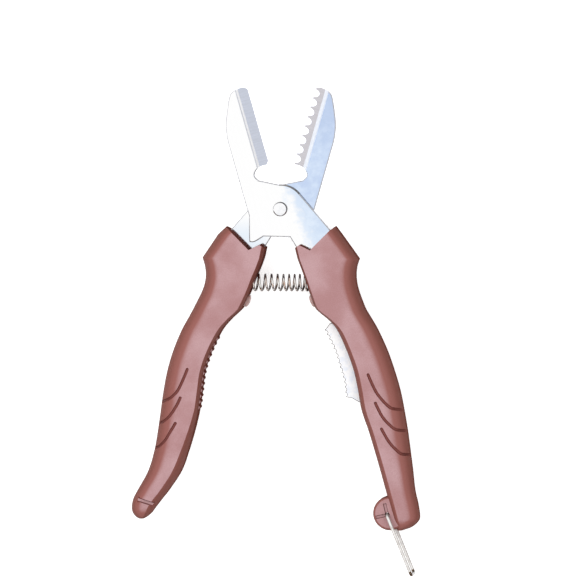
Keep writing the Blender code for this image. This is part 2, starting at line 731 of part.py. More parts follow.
def build_right_grip(parent):
    """Right grip, over the cutting plate's tang, with the latch disc."""
    grip = add_object("right_grip", grip_mesh("right_grip", 1), PLASTIC, parent)
    lug = (LUG_OUT, -LUG_DOWN)
    middle = (LUG_OUT + LUG_SHIFT, LUG_RISE - LUG_DOWN)
    disc = cylinder_mesh("latch_disc", LUG_RADIUS, -LUG_HALF_THICK, LUG_HALF_THICK, ROUND_FACETS, middle)
    boolean(grip, add_cutter("latch_disc", disc, parent), "UNION")
    cut_mouth(grip, 1, parent)
    boolean(grip, tang_slot("right_tang_slot", 1, parent))
    cut_spring_pocket(grip, 1, parent)
    cut_swept_grooves(grip, 1, parent)
    reach = LUG_HALF_THICK + OVERRUN
    bore = cylinder_mesh("latch_bore", LUG_BORE, -reach, reach, SMALL_FACETS, lug)
    boolean(grip, add_cutter("latch_bore", bore, parent))
    floor = LUG_HALF_THICK - REST_GROOVE_DEPTH
    for label, angle in (("park", PARK_ANGLE), ("shut", SHUT_ANGLE)):
        for face in (1, -1):
            low, high = sorted((face * floor, face * (LUG_HALF_THICK + SEAT_GAP)))
            name = f"{label}_groove_{'front' if face > 0 else 'back'}"
            length = LUG_RADIUS + OVERRUN
            boolean(grip, bar_cutter(name, lug, angle, length, REST_GROOVE_WIDTH, low, high, parent))
    return grip


def bail_corner(out, start):
    """Quarter turn of the bail's wire, clockwise from an angle, round a centre along the bail."""
    turns = [turn((BAIL_BEND, 0), start - pi / 2 * i / BEND_STEPS) for i in range(BEND_STEPS + 1)]
    return [(out + x, BAIL_HALF_WIDTH - BAIL_BEND + z) for x, z in turns]


def bail_points():
    """Centre line of the bail from one toe in the bore to the other, along its own +X."""
    upper = [(0, BAIL_TOE)] + bail_corner(BAIL_BEND, pi) + bail_corner(BAIL_LENGTH - BAIL_BEND, pi / 2)
    return [(x, 0, z) for x, z in upper + [(x, -z) for x, z in reversed(upper)]]


def build_bail(parent):
    """U of round wire that turns in the latch disc."""
    mesh = wire_mesh("latch_bail", bail_points(), BAIL_WIRE / 2)
    mesh.transform(Matrix.Rotation(BAIL_ANGLE, 4, "Z"))
    return add_object("latch_bail", mesh, WIRE_STEEL, parent)


def spring_points():
    """Centre line of the spring from the left pocket's floor to the right one's."""
    left = -row_at(-1, SPRING_DOWN)[2] - POCKET_DEPTH + SEAT_GAP
    right = row_at(1, SPRING_DOWN)[2] + POCKET_DEPTH - SEAT_GAP
    radius = SPRING_RADIUS - SPRING_WIRE / 2
    lead = SPRING_WIRE * 2
    length = right - left - 2 * lead
    count = SPRING_TURNS * SPRING_POINTS
    points = []
    for i in range(count + 1):
        angle = 2 * pi * i / SPRING_POINTS
        x = left + lead + length * i / count
        points.append((x, -SPRING_DOWN + radius * cos(angle), radius * sin(angle)))
    first, last = points[0], points[-1]
    return [(left, first[1], first[2])] + points + [(right, last[1], last[2])]


def build_spring(parent):
    """Return spring, one unbroken wire."""
    points = spring_points()
    print(f"return_spring least self gap {self_gap(points, SPRING_WIRE) * 1000:.2f} mm")
    coil = wire_mesh("return_spring", points, SPRING_WIRE / 2)
    return add_object("return_spring", coil, WIRE_STEEL, parent)


def self_gap(points, wire):
    """Least clear distance between stretches of the wire at least half a turn apart."""
    apart = SPRING_POINTS // 2
    least = min(
        (Vector(a) - Vector(b)).length
        for i, a in enumerate(points)
        for b in points[i + apart:]
    )
    return least - wire


def build_pivot(parent):
    """Bolt, washer and nut on the pivot's axis, front to back."""
    front = PLATE_GAP / 2 + PLATE_THICK + SEAT_GAP
    washer_top = -(PLATE_GAP / 2 + PLATE_THICK + SEAT_GAP)
    nut_top = washer_top - WASHER_THICK - SEAT_GAP
    tail = nut_top - NUT_THICK - BOLT_TAIL
    head = front + BOLT_HEAD_THICK
    profile = [
        (0, tail), (BOLT_RADIUS, tail), (BOLT_RADIUS, front), (BOLT_HEAD_RADIUS, front),
        (BOLT_HEAD_RADIUS, head - BOLT_HEAD_CHAMFER), (BOLT_HEAD_RADIUS - BOLT_HEAD_CHAMFER, head), (0, head),
    ]
    add_object("pivot_bolt", turned_mesh("pivot_bolt", profile, ROUND_FACETS), BOLT_STEEL, parent)
    hole = circle((0, 0), BOLT_RADIUS + RUN_GAP, ROUND_FACETS)
    rim = circle((0, 0), WASHER_RADIUS, ROUND_FACETS)
    washer = flat_mesh("pivot_washer", [rim, hole], washer_top - WASHER_THICK, washer_top)
    add_object("pivot_washer", washer, BOLT_STEEL, parent)
    flats = circle((0, 0), NUT_FLATS_RADIUS, 6)
    nut = flat_mesh("pivot_nut", [flats, hole], nut_top - NUT_THICK, nut_top)
    add_object("pivot_nut", nut, BOLT_STEEL, parent)


def centre_on_base(root):
    """Move the tool so that the middle of its underside is at the world origin."""
    bpy.context.view_layer.update()
    graph = bpy.context.evaluated_depsgraph_get()
    low, high = Vector((1, 1, 1)), Vector((-1, -1, -1))
    for obj in TOOL.objects:
        if obj.type != "MESH":
            continue
        evaluated = obj.evaluated_get(graph)
        for vert in evaluated.data.vertices:
            place = evaluated.matrix_world @ vert.co
            low = Vector(map(min, low, place))
            high = Vector(map(max, high, place))
    root.location -= Vector(((low.x + high.x) / 2, (low.y + high.y) / 2, low.z))
    bpy.context.view_layer.update()


def add_axis(name, place, parent=None):
    """Empty on a joint's axis."""
    empty = bpy.data.objects.new(name, None)
    empty.empty_display_size = HUB_RADIUS
    empty.location = place
    empty.parent = parent
    TOOL.objects.link(empty)
    return empty


clear_scene()
TOOL = make_collection("nut_cutter")
CUTTERS = make_collection("cutters")
STEEL = make_material("ground_steel", (0.78, 0.80, 0.84), 0.28, 1.0)
BOLT_STEEL = make_material("bolt_steel", (0.70, 0.70, 0.71), 0.30, 1.0)
WIRE_STEEL = make_material("plated_wire", (0.66, 0.64, 0.60), 0.25, 1.0)
PLASTIC = make_material("grip_plastic", (0.36, 0.16, 0.14), 0.55, 0.0)
RUBBER = make_material("bumper_rubber", (0.72, 0.60, 0.58), 0.60, 0.0)

tool_root = add_axis("pivot_frame", (0, 0, 0))
jaws_axis = add_axis("jaws_axis", (0, 0, 0), tool_root)
latch_axis = add_axis("latch_axis", (LUG_OUT, -LUG_DOWN, 0), tool_root)

build_plate("cutting_plate", False, PLATE_GAP / 2, tool_root)
build_plate("toothed_plate", True, -PLATE_GAP / 2 - PLATE_THICK, jaws_axis)
left_grip = build_left_grip(jaws_axis)
right_grip = build_right_grip(tool_root)
build_bumper("left_bumper", left_grip, -1, jaws_axis)
build_bumper("right_bumper", right_grip, 1, tool_root)
build_side_blade(right_grip, tool_root)
build_spring(tool_root)
build_pivot(tool_root)
build_bail(latch_axis)
centre_on_base(tool_root)

for axis in (jaws_axis, latch_axis):
    where = axis.matrix_world.translation
    print(f"{axis.name} at {where.x:.5f} {where.y:.5f} {where.z:.5f}")
print(f"bail opens {degrees(BAIL_ANGLE):.1f} degrees from +X")
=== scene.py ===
"""Looks of the hand-held nut cutter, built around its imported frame.

Every piece is drawn about the pivot, in metres, with the jaws towards +Y and the front faces
towards +Z, and is then moved to the pivot's place in the frame. Tables of shares follow the
sizes beside them.
"""

import json
import logging
from collections.abc import Callable, Iterable, Sequence
from dataclasses import dataclass
from enum import Enum, IntEnum
from math import atan2, cos, pi, radians, sin, tan

import bmesh
import bpy
from bmesh.types import BMEdge, BMVert
from bpy.types import Material, Node, NodeSocket, NodeTree, Object
from mathutils import Matrix, Vector


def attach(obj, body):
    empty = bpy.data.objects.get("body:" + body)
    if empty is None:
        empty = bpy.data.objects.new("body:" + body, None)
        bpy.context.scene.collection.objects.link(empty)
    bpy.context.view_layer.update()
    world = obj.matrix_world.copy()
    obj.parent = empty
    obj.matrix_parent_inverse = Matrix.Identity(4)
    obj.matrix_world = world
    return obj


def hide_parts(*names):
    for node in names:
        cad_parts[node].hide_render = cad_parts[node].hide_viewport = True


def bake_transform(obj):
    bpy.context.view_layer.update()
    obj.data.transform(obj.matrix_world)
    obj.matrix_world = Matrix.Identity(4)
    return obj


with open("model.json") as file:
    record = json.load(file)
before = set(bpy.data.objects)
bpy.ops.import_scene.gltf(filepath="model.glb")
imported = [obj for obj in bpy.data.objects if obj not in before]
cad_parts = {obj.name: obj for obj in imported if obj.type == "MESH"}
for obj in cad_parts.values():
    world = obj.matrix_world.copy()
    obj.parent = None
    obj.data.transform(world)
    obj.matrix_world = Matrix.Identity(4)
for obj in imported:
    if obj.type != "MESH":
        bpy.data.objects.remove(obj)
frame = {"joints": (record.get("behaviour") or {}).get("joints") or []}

LOG = logging.getLogger("nut_cutter")

JOINTS = {joint["name"]: joint for joint in frame["joints"]}
PIVOT = Vector(JOINTS["jaws"]["pos_m"])
LATCH_PLACE = Matrix.Translation(Vector(JOINTS["latch"]["pos_m"]) - PIVOT)

JAW_ANGLE = radians(16)
PLATE_THICK = 0.0025
PLATE_GAP = 0.0003

WELD = 0.000005
SEAT_GAP = 0.0003
OVERRUN = 0.004
SMOOTH_ANGLE = radians(20)
CORNER_ANGLE = radians(50)
FACE_TOLERANCE = radians(2)
RIM_LEAN = radians(16)

Flat = tuple[float, float]
Span = tuple[float, float]
Colour = tuple[float, float, float]
Place = tuple[float, float, float]


class Side(Enum):
    """The two levers, by the side of the tool that their grip is on."""

    LEFT = -1
    RIGHT = 1


class Face(Enum):
    """The two flat faces of the tool."""

    FRONT = 1
    BACK = -1


class Body(Enum):
    """The bodies of the frame that pieces ride on."""

    RIGHT_LEVER = "right_lever"
    LEFT_LEVER = "left_lever"
    BAIL = "latch_bail"


class PlateArea(IntEnum):
    """The parts of a plate's surface, by the number of their material."""

    FACE = 0
    GROUND = 1
    SHOULDER = 2
    CREASE = 3
    # Steep faces near the hub, in the dark finish that paints the shadow at the hub's edge.
    HUB_EDGE_SHADOW = 4
    RIM = 5


LEVER = {Side.LEFT: Body.LEFT_LEVER, Side.RIGHT: Body.RIGHT_LEVER}


def linear(red: int, green: int, blue: int) -> Colour:
    """Turn a colour of 0 to 255 a channel into the shader's linear values."""
    return tuple(((c / 255 + 0.055) / 1.055) ** 2.4 for c in (red, green, blue))


def between(start: float, end: float, share: float) -> float:
    """Value at a share of the way from one value to another."""
    return start + (end - start) * share


def ramp(value: float, start: float, rise: float) -> float:
    """Share of a rise that a value has passed, from 0 to 1."""
    return min(max((value - start) / rise, 0), 1)


def quarter(steps: int) -> list[float]:
    """Angles of a quarter turn, both ends among them."""
    return [pi / 2 * i / steps for i in range(steps + 1)]


def turned(point: Flat, angle: float) -> Flat:
    """Turn a flat point about the origin."""
    x, y = point
    return (x * cos(angle) - y * sin(angle), x * sin(angle) + y * cos(angle))


def scaled(shares: Iterable[Flat], across: float, along: float | None = None) -> list[Flat]:
    """Real sizes of a table of flat shares.

    Args:
        shares: Pairs of shares.
        across: Size that the first of each pair is a share of.
        along: Size that the second is a share of, if it is another.
    """
    along = across if along is None else along
    return [(x * across, y * along) for x, y in shares]


def smooth(rows: Sequence[Sequence[float]], steps: int) -> list[tuple[float, ...]]:
    """Put points of a Catmull-Rom curve between rows of numbers.

    Args:
        rows: The rows that the curve goes through.
        steps: Stretches between two of them.

    Returns:
        The rows with the new ones among them.
    """
    result = []
    for i, (start, end) in enumerate(zip(rows, rows[1:])):
        before = rows[i - 1] if i else start
        after = rows[i + 2] if i + 2 < len(rows) else end
        for step in range(steps):
            t = step / steps
            weights = (
                0.5 * (-t + 2 * t**2 - t**3),
                0.5 * (2 - 5 * t**2 + 3 * t**3),
                0.5 * (t + 4 * t**2 - 3 * t**3),
                0.5 * (t**3 - t**2),
            )
            parts = zip(before, start, end, after)
            result.append(tuple(sum(w * v for w, v in zip(weights, values)) for values in parts))
    return result + [tuple(rows[-1])]


def mirrored(points: Iterable[Flat]) -> list[Flat]:
    """The same outline on the other side of the tool, in the same sense."""
    return [(-x, y) for x, y in reversed(list(points))]


def grown(outline: Sequence[Flat], gap: float | Sequence[float]) -> list[Flat]:
    """Move the sides of an anticlockwise outline outwards.

    Args:
        outline: The outline.
        gap: How far, for all of it or for each point.

    Returns:
        The moved outline.
    """
    gaps = [gap] * len(outline) if isinstance(gap, float) else gap
    wide = []
    for i, point in enumerate(outline):
        ahead = Vector(outline[(i + 1) % len(outline)]) - Vector(point)
        behind = Vector(point) - Vector(outline[i - 1])
        normals = [Vector((edge.y, -edge.x)).normalized() for edge in (ahead, behind)]
        outward = (normals[0] + normals[1]).normalized()
        wide.append(tuple(Vector(point) + outward * gaps[i] / outward.dot(normals[0])))
    return wide


class Shape:
    """A solid in the making: a bmesh with the operations that the tool's pieces share."""

    def __init__(self) -> None:
        """Start with nothing."""
        self.bm = bmesh.new()

    def loop(self, points: Iterable[Vector]) -> list[BMEdge]:
        """Add a closed loop of edges through some points."""
        verts = [self.bm.verts.new(point) for point in points]
        return [self.bm.edges.new(pair) for pair in zip(verts, verts[1:] + verts[:1])]

    def loft(self, rings: Iterable[Iterable[Vector]]) -> "Shape":
        """Join rings of points in their order and close the first and the last.

        Args:
            rings: Rings with as many points each.

        Returns:
            This shape.
        """
        loops = [self.loop(ring) for ring in rings]
        for near, far in zip(loops, loops[1:]):
            bmesh.ops.bridge_loops(self.bm, edges=near + far)
        for end in (loops[0], loops[-1]):
            bmesh.ops.edgeloop_fill(self.bm, edges=end)
        return self

    def tube(self, path: Sequence[Vector], radius: float, facets: int,
             dome_steps: int = 0) -> "Shape":
        """Add a round tube along a path, its rings turned as little as they can be.

        Args:
            path: Centre line.
            radius: Radius of the tube.
            facets: Sides of the tube.
            dome_steps: Rings of the domes at its ends, or none for flat ends.

        Returns:
            This shape.
        """
        turns = [pi / 2 * step / (dome_steps + 0.5) for step in range(1, dome_steps + 1)]
        domes = []
        for end, nearer in ((path[0], path[1]), (path[-1], path[-2])):
            way = (end - nearer).normalized() * radius
            domes.append([(end + way * sin(a), radius * cos(a)) for a in turns])
        stops = domes[0][::-1] + [(point, radius) for point in path] + domes[1]
        rings = []
        across = None
        for i, (point, size) in enumerate(stops):
            way = (stops[min(i + 1, len(stops) - 1)][0] - stops[max(i - 1, 0)][0]).normalized()
            if across is None:
                across = way.orthogonal().normalized()
            across = (across - way * across.dot(way)).normalized()
            up = way.cross(across)
            angles = (2 * pi * k / facets for k in range(facets))
            rings.append([point + across * size * cos(a) + up * size * sin(a) for a in angles])
        return self.loft(rings)

    def prism(self, outline: Iterable[Flat], low: float, high: float) -> "Shape":
        """Add an upright prism over a flat outline.

        Args:
            outline: Points of the outline.
            low: Height of its foot.
            high: Height of its top.

        Returns:
            This shape.
        """
        edges = self.loop(Vector((x, y, low)) for x, y in outline)
        foot = bmesh.ops.contextual_create(self.bm, geom=edges)["faces"]
        raised = bmesh.ops.extrude_face_region(self.bm, geom=foot)["geom"]
        top = [item for item in raised if isinstance(item, BMVert)]
        bmesh.ops.translate(self.bm, verts=top, vec=(0, 0, high - low))
        return self

    def rod(self, radius: float, low: float, high: float, facets: int) -> "Shape":
        """Add an upright rod on the origin.

        Args:
            radius: Radius of the rod.
            low: Height of its foot.
            high: Height of its top.
            facets: Sides of the rod.

        Returns:
            This shape.
        """
        place = Matrix.Translation((0, 0, (low + high) / 2))
        bmesh.ops.create_cone(
            self.bm, cap_ends=True, segments=facets, radius1=radius, radius2=radius,
            depth=high - low, matrix=place,
        )
        return self

    def lathe(self, profile: Iterable[Flat], facets: int) -> "Shape":
        """Add a solid turned about Z, from (radius, height) points that start and end on the axis.

        Args:
            profile: The points, in their order.
            facets: Steps of the full turn.

        Returns:
            This shape.
        """
        verts = [self.bm.verts.new((radius, 0, height)) for radius, height in profile]
        edges = [self.bm.edges.new(pair) for pair in zip(verts, verts[1:])]
        bmesh.ops.spin(
            self.bm, geom=verts + edges, cent=(0, 0, 0), axis=(0, 0, 1), angle=2 * pi,
            steps=facets, use_merge=True,
        )
        return self

    def soften(self, width: float, rounds: int, wanted: Callable[..., bool]) -> "Shape":
        """Round the edges that a test picks.

        Args:
            width: Width of the rounding.
            rounds: Facets across it.
            wanted: Test that says whether an edge is rounded.

        Returns:
            This shape.
        """
        self.settle()
        edges = [edge for edge in self.bm.edges if wanted(edge)]
        bmesh.ops.bevel(
            self.bm, geom=edges, offset=width, offset_type="OFFSET", segments=rounds, profile=0.5,
            affect="EDGES", clamp_overlap=True, material=-1,
        )
        return self

    def moved(self, matrix: Matrix) -> "Shape":
        """Move, turn or mirror all of it."""
        bmesh.ops.transform(self.bm, matrix=matrix, verts=self.bm.verts)
        return self

    def join(self, *others: "Shape") -> "Shape":
        """Take in the bodies of other shapes.

        Args:
            *others: Shapes to take in, which are used up.

        Returns:
            This shape.
        """
        for other in others:
            mesh = bpy.data.meshes.new("body")
            other.bm.to_mesh(mesh)
            other.bm.free()
            self.bm.from_mesh(mesh)
            bpy.data.meshes.remove(mesh)
        return self

    def settle(self) -> "Shape":
        """Merge doubled points and turn every face outwards.

        Returns:
            This shape.
        """
        bmesh.ops.remove_doubles(self.bm, verts=self.bm.verts, dist=WELD)
        bmesh.ops.recalc_face_normals(self.bm, faces=self.bm.faces)
        return self

    def to_object(self, name: str, material: Material | None = None) -> Object:
        """Store it as an object at the origin, in one material if one is given.

        Args:
            name: Name of the object and its mesh.
            material: The material, or none.

        Returns:
            The new object.
        """
        self.settle()
        mesh = bpy.data.meshes.new(name)
        if material is not None:
            mesh.materials.append(material)
        self.bm.to_mesh(mesh)
        self.bm.free()
        obj = bpy.data.objects.new(name, mesh)
        bpy.context.scene.collection.objects.link(obj)
        return obj


def sharp_rim(edge: BMEdge) -> bool:
    """Whether an edge is an outward corner of a stamped piece's face."""
    return edge.is_manifold and edge.calc_face_angle_signed(0) > CORNER_ANGLE


def carve(obj: Object, cuts: Sequence[Object] = (), joins: Sequence[Object] = ()) -> Object:
    """Join some solids to a piece, cut others from it and remove them all.

    Args:
        obj: The piece.
        cuts: Solids that are cut from it, after the joins.
        joins: Solids that are joined to it.

    Returns:
        The piece, with its new mesh.
    """
    for other, operation in [(o, "UNION") for o in joins] + [(o, "DIFFERENCE") for o in cuts]:
        modifier = obj.modifiers.new(other.name, "BOOLEAN")
        modifier.operation = operation
        modifier.object = other
        modifier.solver = "EXACT"
        modifier.material_mode = "TRANSFER"
    bpy.context.view_layer.update()
    graph = bpy.context.evaluated_depsgraph_get()
    mesh = bpy.data.meshes.new_from_object(obj.evaluated_get(graph))
    obj.modifiers.clear()
    obj.data = mesh
    mesh.name = obj.name
    for other in [*cuts, *joins]:
        bpy.data.objects.remove(other, do_unlink=True)
    return obj


class Board:
    """A material in the making: a Principled shader with short calls for its nodes."""

    NOISE_ROUGHNESS = 0.55

    def __init__(self, name: str) -> None:
        """Start a material whose patterns are read in the object's own coordinates.

        Args:
            name: Name of the material.
        """
        self.material = bpy.data.materials.new(name)
        self.material.use_nodes = True
        self.tree = self.material.node_tree
        self.shader = self.tree.nodes["Principled BSDF"]
        self.place = self.tree.nodes.new("ShaderNodeTexCoord").outputs["Object"]

    def set(self, **values: object) -> "Board":
        """Set the shader's own sockets, named with _ for a space.

        Args:
            **values: Value of each socket.

        Returns:
            This board.
        """
        for key, value in values.items():
            self.shader.inputs[key.replace("_", " ")].default_value = value
        return self

    def node(self, kind: str, links: dict | None = None, **settings: object) -> Node:
        """Add a node.

        Args:
            kind: The node's type, without its prefix.
            links: Socket names or numbers with the output or the value that each takes.
            **settings: Properties of the node.

        Returns:
            The new node.
        """
        node = self.tree.nodes.new("ShaderNode" + kind)
        for key, value in settings.items():
            setattr(node, key, value)
        for key, value in (links or {}).items():
            if isinstance(value, NodeSocket):
                self.tree.links.new(value, node.inputs[key])
            else:
                node.inputs[key].default_value = value
        return node

    def noise(self, size: float, detail: float = 3.0, stretch: Sequence[float] = (1, 1, 1),
              angle: float = 0.0) -> NodeSocket:
        """Noise with features of a given size.

        Args:
            size: Rough size of a feature, in metres.
            detail: Octaves.
            stretch: How much longer the features are along each axis.
            angle: Turn of the pattern about Z.

        Returns:
            The noise's value.
        """
        scale = tuple(1 / s for s in stretch)
        place = self.node("Mapping", {"Vector": self.place, "Rotation": (0, 0, -angle)})
        place = self.node("Mapping", {"Vector": place.outputs[0], "Scale": scale})
        links = {"Vector": place.outputs[0], "Scale": 1 / size, "Detail": detail}
        return self.node("TexNoise", links | {"Roughness": self.NOISE_ROUGHNESS}).outputs["Fac"]

    def math(self, operation: str, first: object, second: object = 0.0) -> NodeSocket:
        """Reckon with one or two values or outputs."""
        return self.node("Math", {0: first, 1: second}, operation=operation).outputs[0]

    def lean(self) -> NodeSocket:
        """How far the surface faces the front or the back, from 0 on a wall to 1 on a flat face."""
        normal = self.node("TexCoord").outputs["Normal"]
        return self.math("ABSOLUTE", self.node("SeparateXYZ", {"Vector": normal}).outputs["Z"])

    def span(self, value: NodeSocket, wanted: Span = (0.0, 1.0),
             band: Span = (0.3, 0.7)) -> NodeSocket:
        """Map a value from a band to a wanted range, clamped.

        Args:
            value: Value to map.
            wanted: Range that comes out.
            band: Band that goes in.

        Returns:
            The mapped value.
        """
        names = ("From Min", "From Max", "To Min", "To Max")
        links = {"Value": value, **dict(zip(names, (*band, *wanted)))}
        return self.node("MapRange", links, interpolation_type="SMOOTHSTEP").outputs["Result"]

    def mix(self, share: NodeSocket | float, first: object, second: object) -> NodeSocket:
        """Mix two colours or colour outputs.

        Args:
            share: Share of the second.
            first: Colour or output at share 0.
            second: Colour or output at share 1.

        Returns:
            The mixed colour.
        """
        node = self.node("Mix", {0: share}, data_type="RGBA")
        for number, value in ((6, first), (7, second)):
            if isinstance(value, NodeSocket):
                self.tree.links.new(value, node.inputs[number])
            else:
                node.inputs[number].default_value = (*value, 1)
        return node.outputs[2]

    def bump(self, height: NodeSocket, depth: float, strength: float,
             under: NodeSocket | None = None) -> NodeSocket:
        """Bump of a given depth over another bump's normal.

        Args:
            height: Height of the pattern.
            depth: Depth of the bump, in metres.
            strength: How strongly it shows, from 0 to 1.
            under: Normal of the bump beneath, if there is one.

        Returns:
            The bumped normal.
        """
        links = {"Height": height, "Distance": depth, "Strength": strength}
        if under is not None:
            links["Normal"] = under
        return self.node("Bump", links).outputs["Normal"]

    def feed(self, **outputs: NodeSocket) -> "Board":
        """Link outputs to the shader's sockets, named with _ for a space.

        Args:
            **outputs: Output that each socket takes.

        Returns:
            This board.
        """
        for key, value in outputs.items():
            self.tree.links.new(value, self.shader.inputs[key.replace("_", " ")])
        return self


@dataclass(frozen=True)
class MouldedPlastic:
    """Reddish-brown moulded plastic of the grips, with a fine spark-eroded grain, painted shade on
    its sides and a painted sheen mixed with dust on its flat faces.
    """

    name: str = "grip_plastic"
    # Tones by lean, from the walls to the flat faces: painted shade, then a painted sheen mixed with
    # dust.
    wall_shade: Colour = linear(108, 61, 52)
    flank_shade: Colour = linear(126, 73, 64)
    half_shade: Colour = linear(150, 96, 90)
    face: Colour = linear(172, 130, 131)
    dust_and_sheen: Colour = linear(189, 153, 156)
    grain: float = 0.0005
    mottle: float = 0.0016
    cloud: float = 0.018
    gloss: float = 0.14
    speck_share: float = 0.14
    grain_bump: Span = (0.00005, 0.5)
    cloud_bump: Span = (0.00015, 0.2)
    flank_lean: Span = (0.08, 0.60)
    warm_lean: Span = (0.55, 0.96)
    face_lean: Span = (0.91, 0.9995)
    gloss_lean: Span = (0.15, 0.70)
    speck_band: Span = (0.35, 0.65)
    roughness: Span = (0.42, 0.56)

    def build(self) -> Material:
        """Make the material, with painted shade and less gloss where the surface turns away from the
        flat faces, and a painted sheen on them.

        Returns:
            The material.
        """
        board = Board(self.name)
        cloud = board.noise(self.cloud, detail=3)
        lean = board.lean()
        # Painted shade on the walls and flanks, and a painted sheen with dust on the flattest faces.
        base = board.mix(board.span(lean, band=self.flank_lean), self.wall_shade, self.flank_shade)
        base = board.mix(board.span(lean, band=self.warm_lean), base, self.half_shade)
        face = board.mix(board.span(cloud), self.face, self.dust_and_sheen)
        base = board.mix(board.span(lean, band=self.face_lean), base, face)
        grain = board.noise(self.grain, detail=2)
        specks = board.span(grain, (0.0, self.speck_share), self.speck_band)
        # Specks of the plastic's own grain, in the flank's darker tone.
        base = board.mix(specks, base, self.flank_shade)
        rough = board.span(board.noise(self.mottle, detail=4), self.roughness)
        normal = board.bump(cloud, *self.cloud_bump, board.bump(grain, *self.grain_bump))
        gloss = board.span(lean, (0.0, self.gloss), self.gloss_lean)
        board.feed(Base_Color=base, Roughness=rough, Normal=normal, Specular_IOR_Level=gloss)
        return board.material


@dataclass(frozen=True)
class BladeSteel:
    """Satin plate steel, near white, with a painted pale blue reflection towards the toothed jaw, a
    paler painted tint low on the tang and painted shade on its steep faces.
    """

    name: str = "plate_steel"
    pale: Colour = linear(255, 255, 255)
    # Painted reflection: blue tones across the jaw, a darker blue towards its tip (deep) and a paler
    # tint low on the tang (shade).
    reflected_blue: Colour = linear(198, 215, 243)
    bright: Colour = linear(214, 229, 250)
    shade: Colour = linear(234, 242, 251)
    deep: Colour = linear(184, 200, 230)
    # Tone of the painted shade on the steep faces.
    side: Colour = linear(150, 152, 158)
    foot: Span = (0.012, 0.002)
    tip: Span = (0.020, 0.048)
    painted_blue: Span = (0.0026, 0.0096)
    painted_blue_slope: float = 0.45
    cloud: float = 0.0055
    cloud_band: Span = (0.35, 0.68)
    wall_lean: Span = (0.93, 0.99)
    streak: float = 0.0012
    streak_length: float = 22.0
    streak_angle: float = radians(106)
    streak_tones: Span = (0.994, 1.0)
    streak_bump: Span = (0.000005, 0.15)
    roughness: Span = (0.07, 0.12)

    def build(self) -> Material:
        """Make the material.

        Returns:
            The material.
        """
        board = Board(self.name)
        place = board.node("SeparateXYZ", {"Vector": board.place}).outputs
        # Painted reflection: a pale blue cast that grows across the plate towards +X, its edge
        # ragged by the cloud.
        across = board.math("ADD", place["X"], board.math("MULTIPLY", place["Y"], self.painted_blue_slope))
        datum = PIVOT.x + PIVOT.y * self.painted_blue_slope
        cloud = board.noise(self.cloud, detail=4)
        across = board.math("ADD", across, board.span(cloud, (-self.cloud / 2, self.cloud / 2)))
        painted_blue = board.span(across, band=tuple(datum + edge for edge in self.painted_blue))
        reflected_tint = board.mix(board.span(cloud, band=self.cloud_band), self.reflected_blue, self.bright)
        # Painted reflection: a paler tint below and left of the pivot, on the tang.
        foot = board.math("MULTIPLY", *(
            board.span(place[axis], (1.0, 0.0), tuple(middle - edge for edge in self.foot))
            for axis, middle in (("Y", PIVOT.y), ("X", PIVOT.x))
        ))
        # Painted reflection: a darker blue towards the jaw's tip.
        tip = board.span(place["Y"], band=tuple(PIVOT.y + edge for edge in self.tip))
        reflected_tint = board.mix(tip, reflected_tint, board.mix(cloud, self.deep, self.reflected_blue))
        base = board.mix(painted_blue, board.mix(foot, self.pale, self.shade), reflected_tint)
        # Painted shade on the steep faces.
        base = board.mix(board.span(board.lean(), band=self.wall_lean), self.side, base)
        turn = self.streak_angle - pi / 2
        brushed = board.noise(self.streak, detail=4, stretch=(1, self.streak_length, 1), angle=turn)
        streaks = board.span(brushed, self.streak_tones)
        grey = board.node("CombineColor", {0: streaks, 1: streaks, 2: streaks})
        tinted = board.node("Mix", {0: 1.0, 6: base, 7: grey.outputs[0]}, data_type="RGBA",
                            blend_type="MULTIPLY")
        rough, normal = board.span(brushed, self.roughness), board.bump(brushed, *self.streak_bump)
        board.feed(Base_Color=tinted.outputs[2], Roughness=rough, Normal=normal)
        board.set(Metallic=1.0)
        return board.material


@dataclass(frozen=True)
class GroundSteel:
    """Ground strip of a jaw, its fine lines across the edge."""

    name: str
    tone: Colour
    line_angle: float
    line: float = 0.00022
    line_bump: Span = (0.000012, 0.35)
    stretch: tuple[float, float, float] = (40, 1, 40)
    dark_share: float = 0.86
    roughness: Span = (0.30, 0.44)

    def build(self) -> Material:
        """Make the material.

        Returns:
            The material.
        """
        board = Board(self.name)
        lines = board.noise(self.line, detail=3, stretch=self.stretch, angle=self.line_angle)
        dark = tuple(c * self.dark_share for c in self.tone)
        base = board.mix(board.span(lines), dark, self.tone)
        rough, normal = board.span(lines, self.roughness), board.bump(lines, *self.line_bump)
        board.feed(Base_Color=base, Roughness=rough, Normal=normal)
        board.set(Metallic=1.0)
        return board.material


@dataclass(frozen=True)
class StampedSteel:
    """Dull, slightly brownish steel of the walls that the press leaves round a plate; its dark tone
    also paints the shadow at the hub's edge and the side blade's dark outline.
    """

    name: str = "stamped_edge_shade"
    tone: Colour = linear(140, 134, 130)
    worn: Colour = linear(112, 106, 102)
    patch: float = 0.0012
    patch_bump: Span = (0.00003, 0.3)
    roughness: Span = (0.42, 0.58)
    metallic: float = 0.6

    def build(self) -> Material:
        """Make the material.

        Returns:
            The material.
        """
        board = Board(self.name)
        patches = board.noise(self.patch, detail=3)
        base = board.mix(board.span(patches), self.tone, self.worn)
        rough, normal = board.span(patches, self.roughness), board.bump(patches, *self.patch_bump)
        board.feed(Base_Color=base, Roughness=rough, Normal=normal)
        board.set(Metallic=self.metallic)
        return board.material


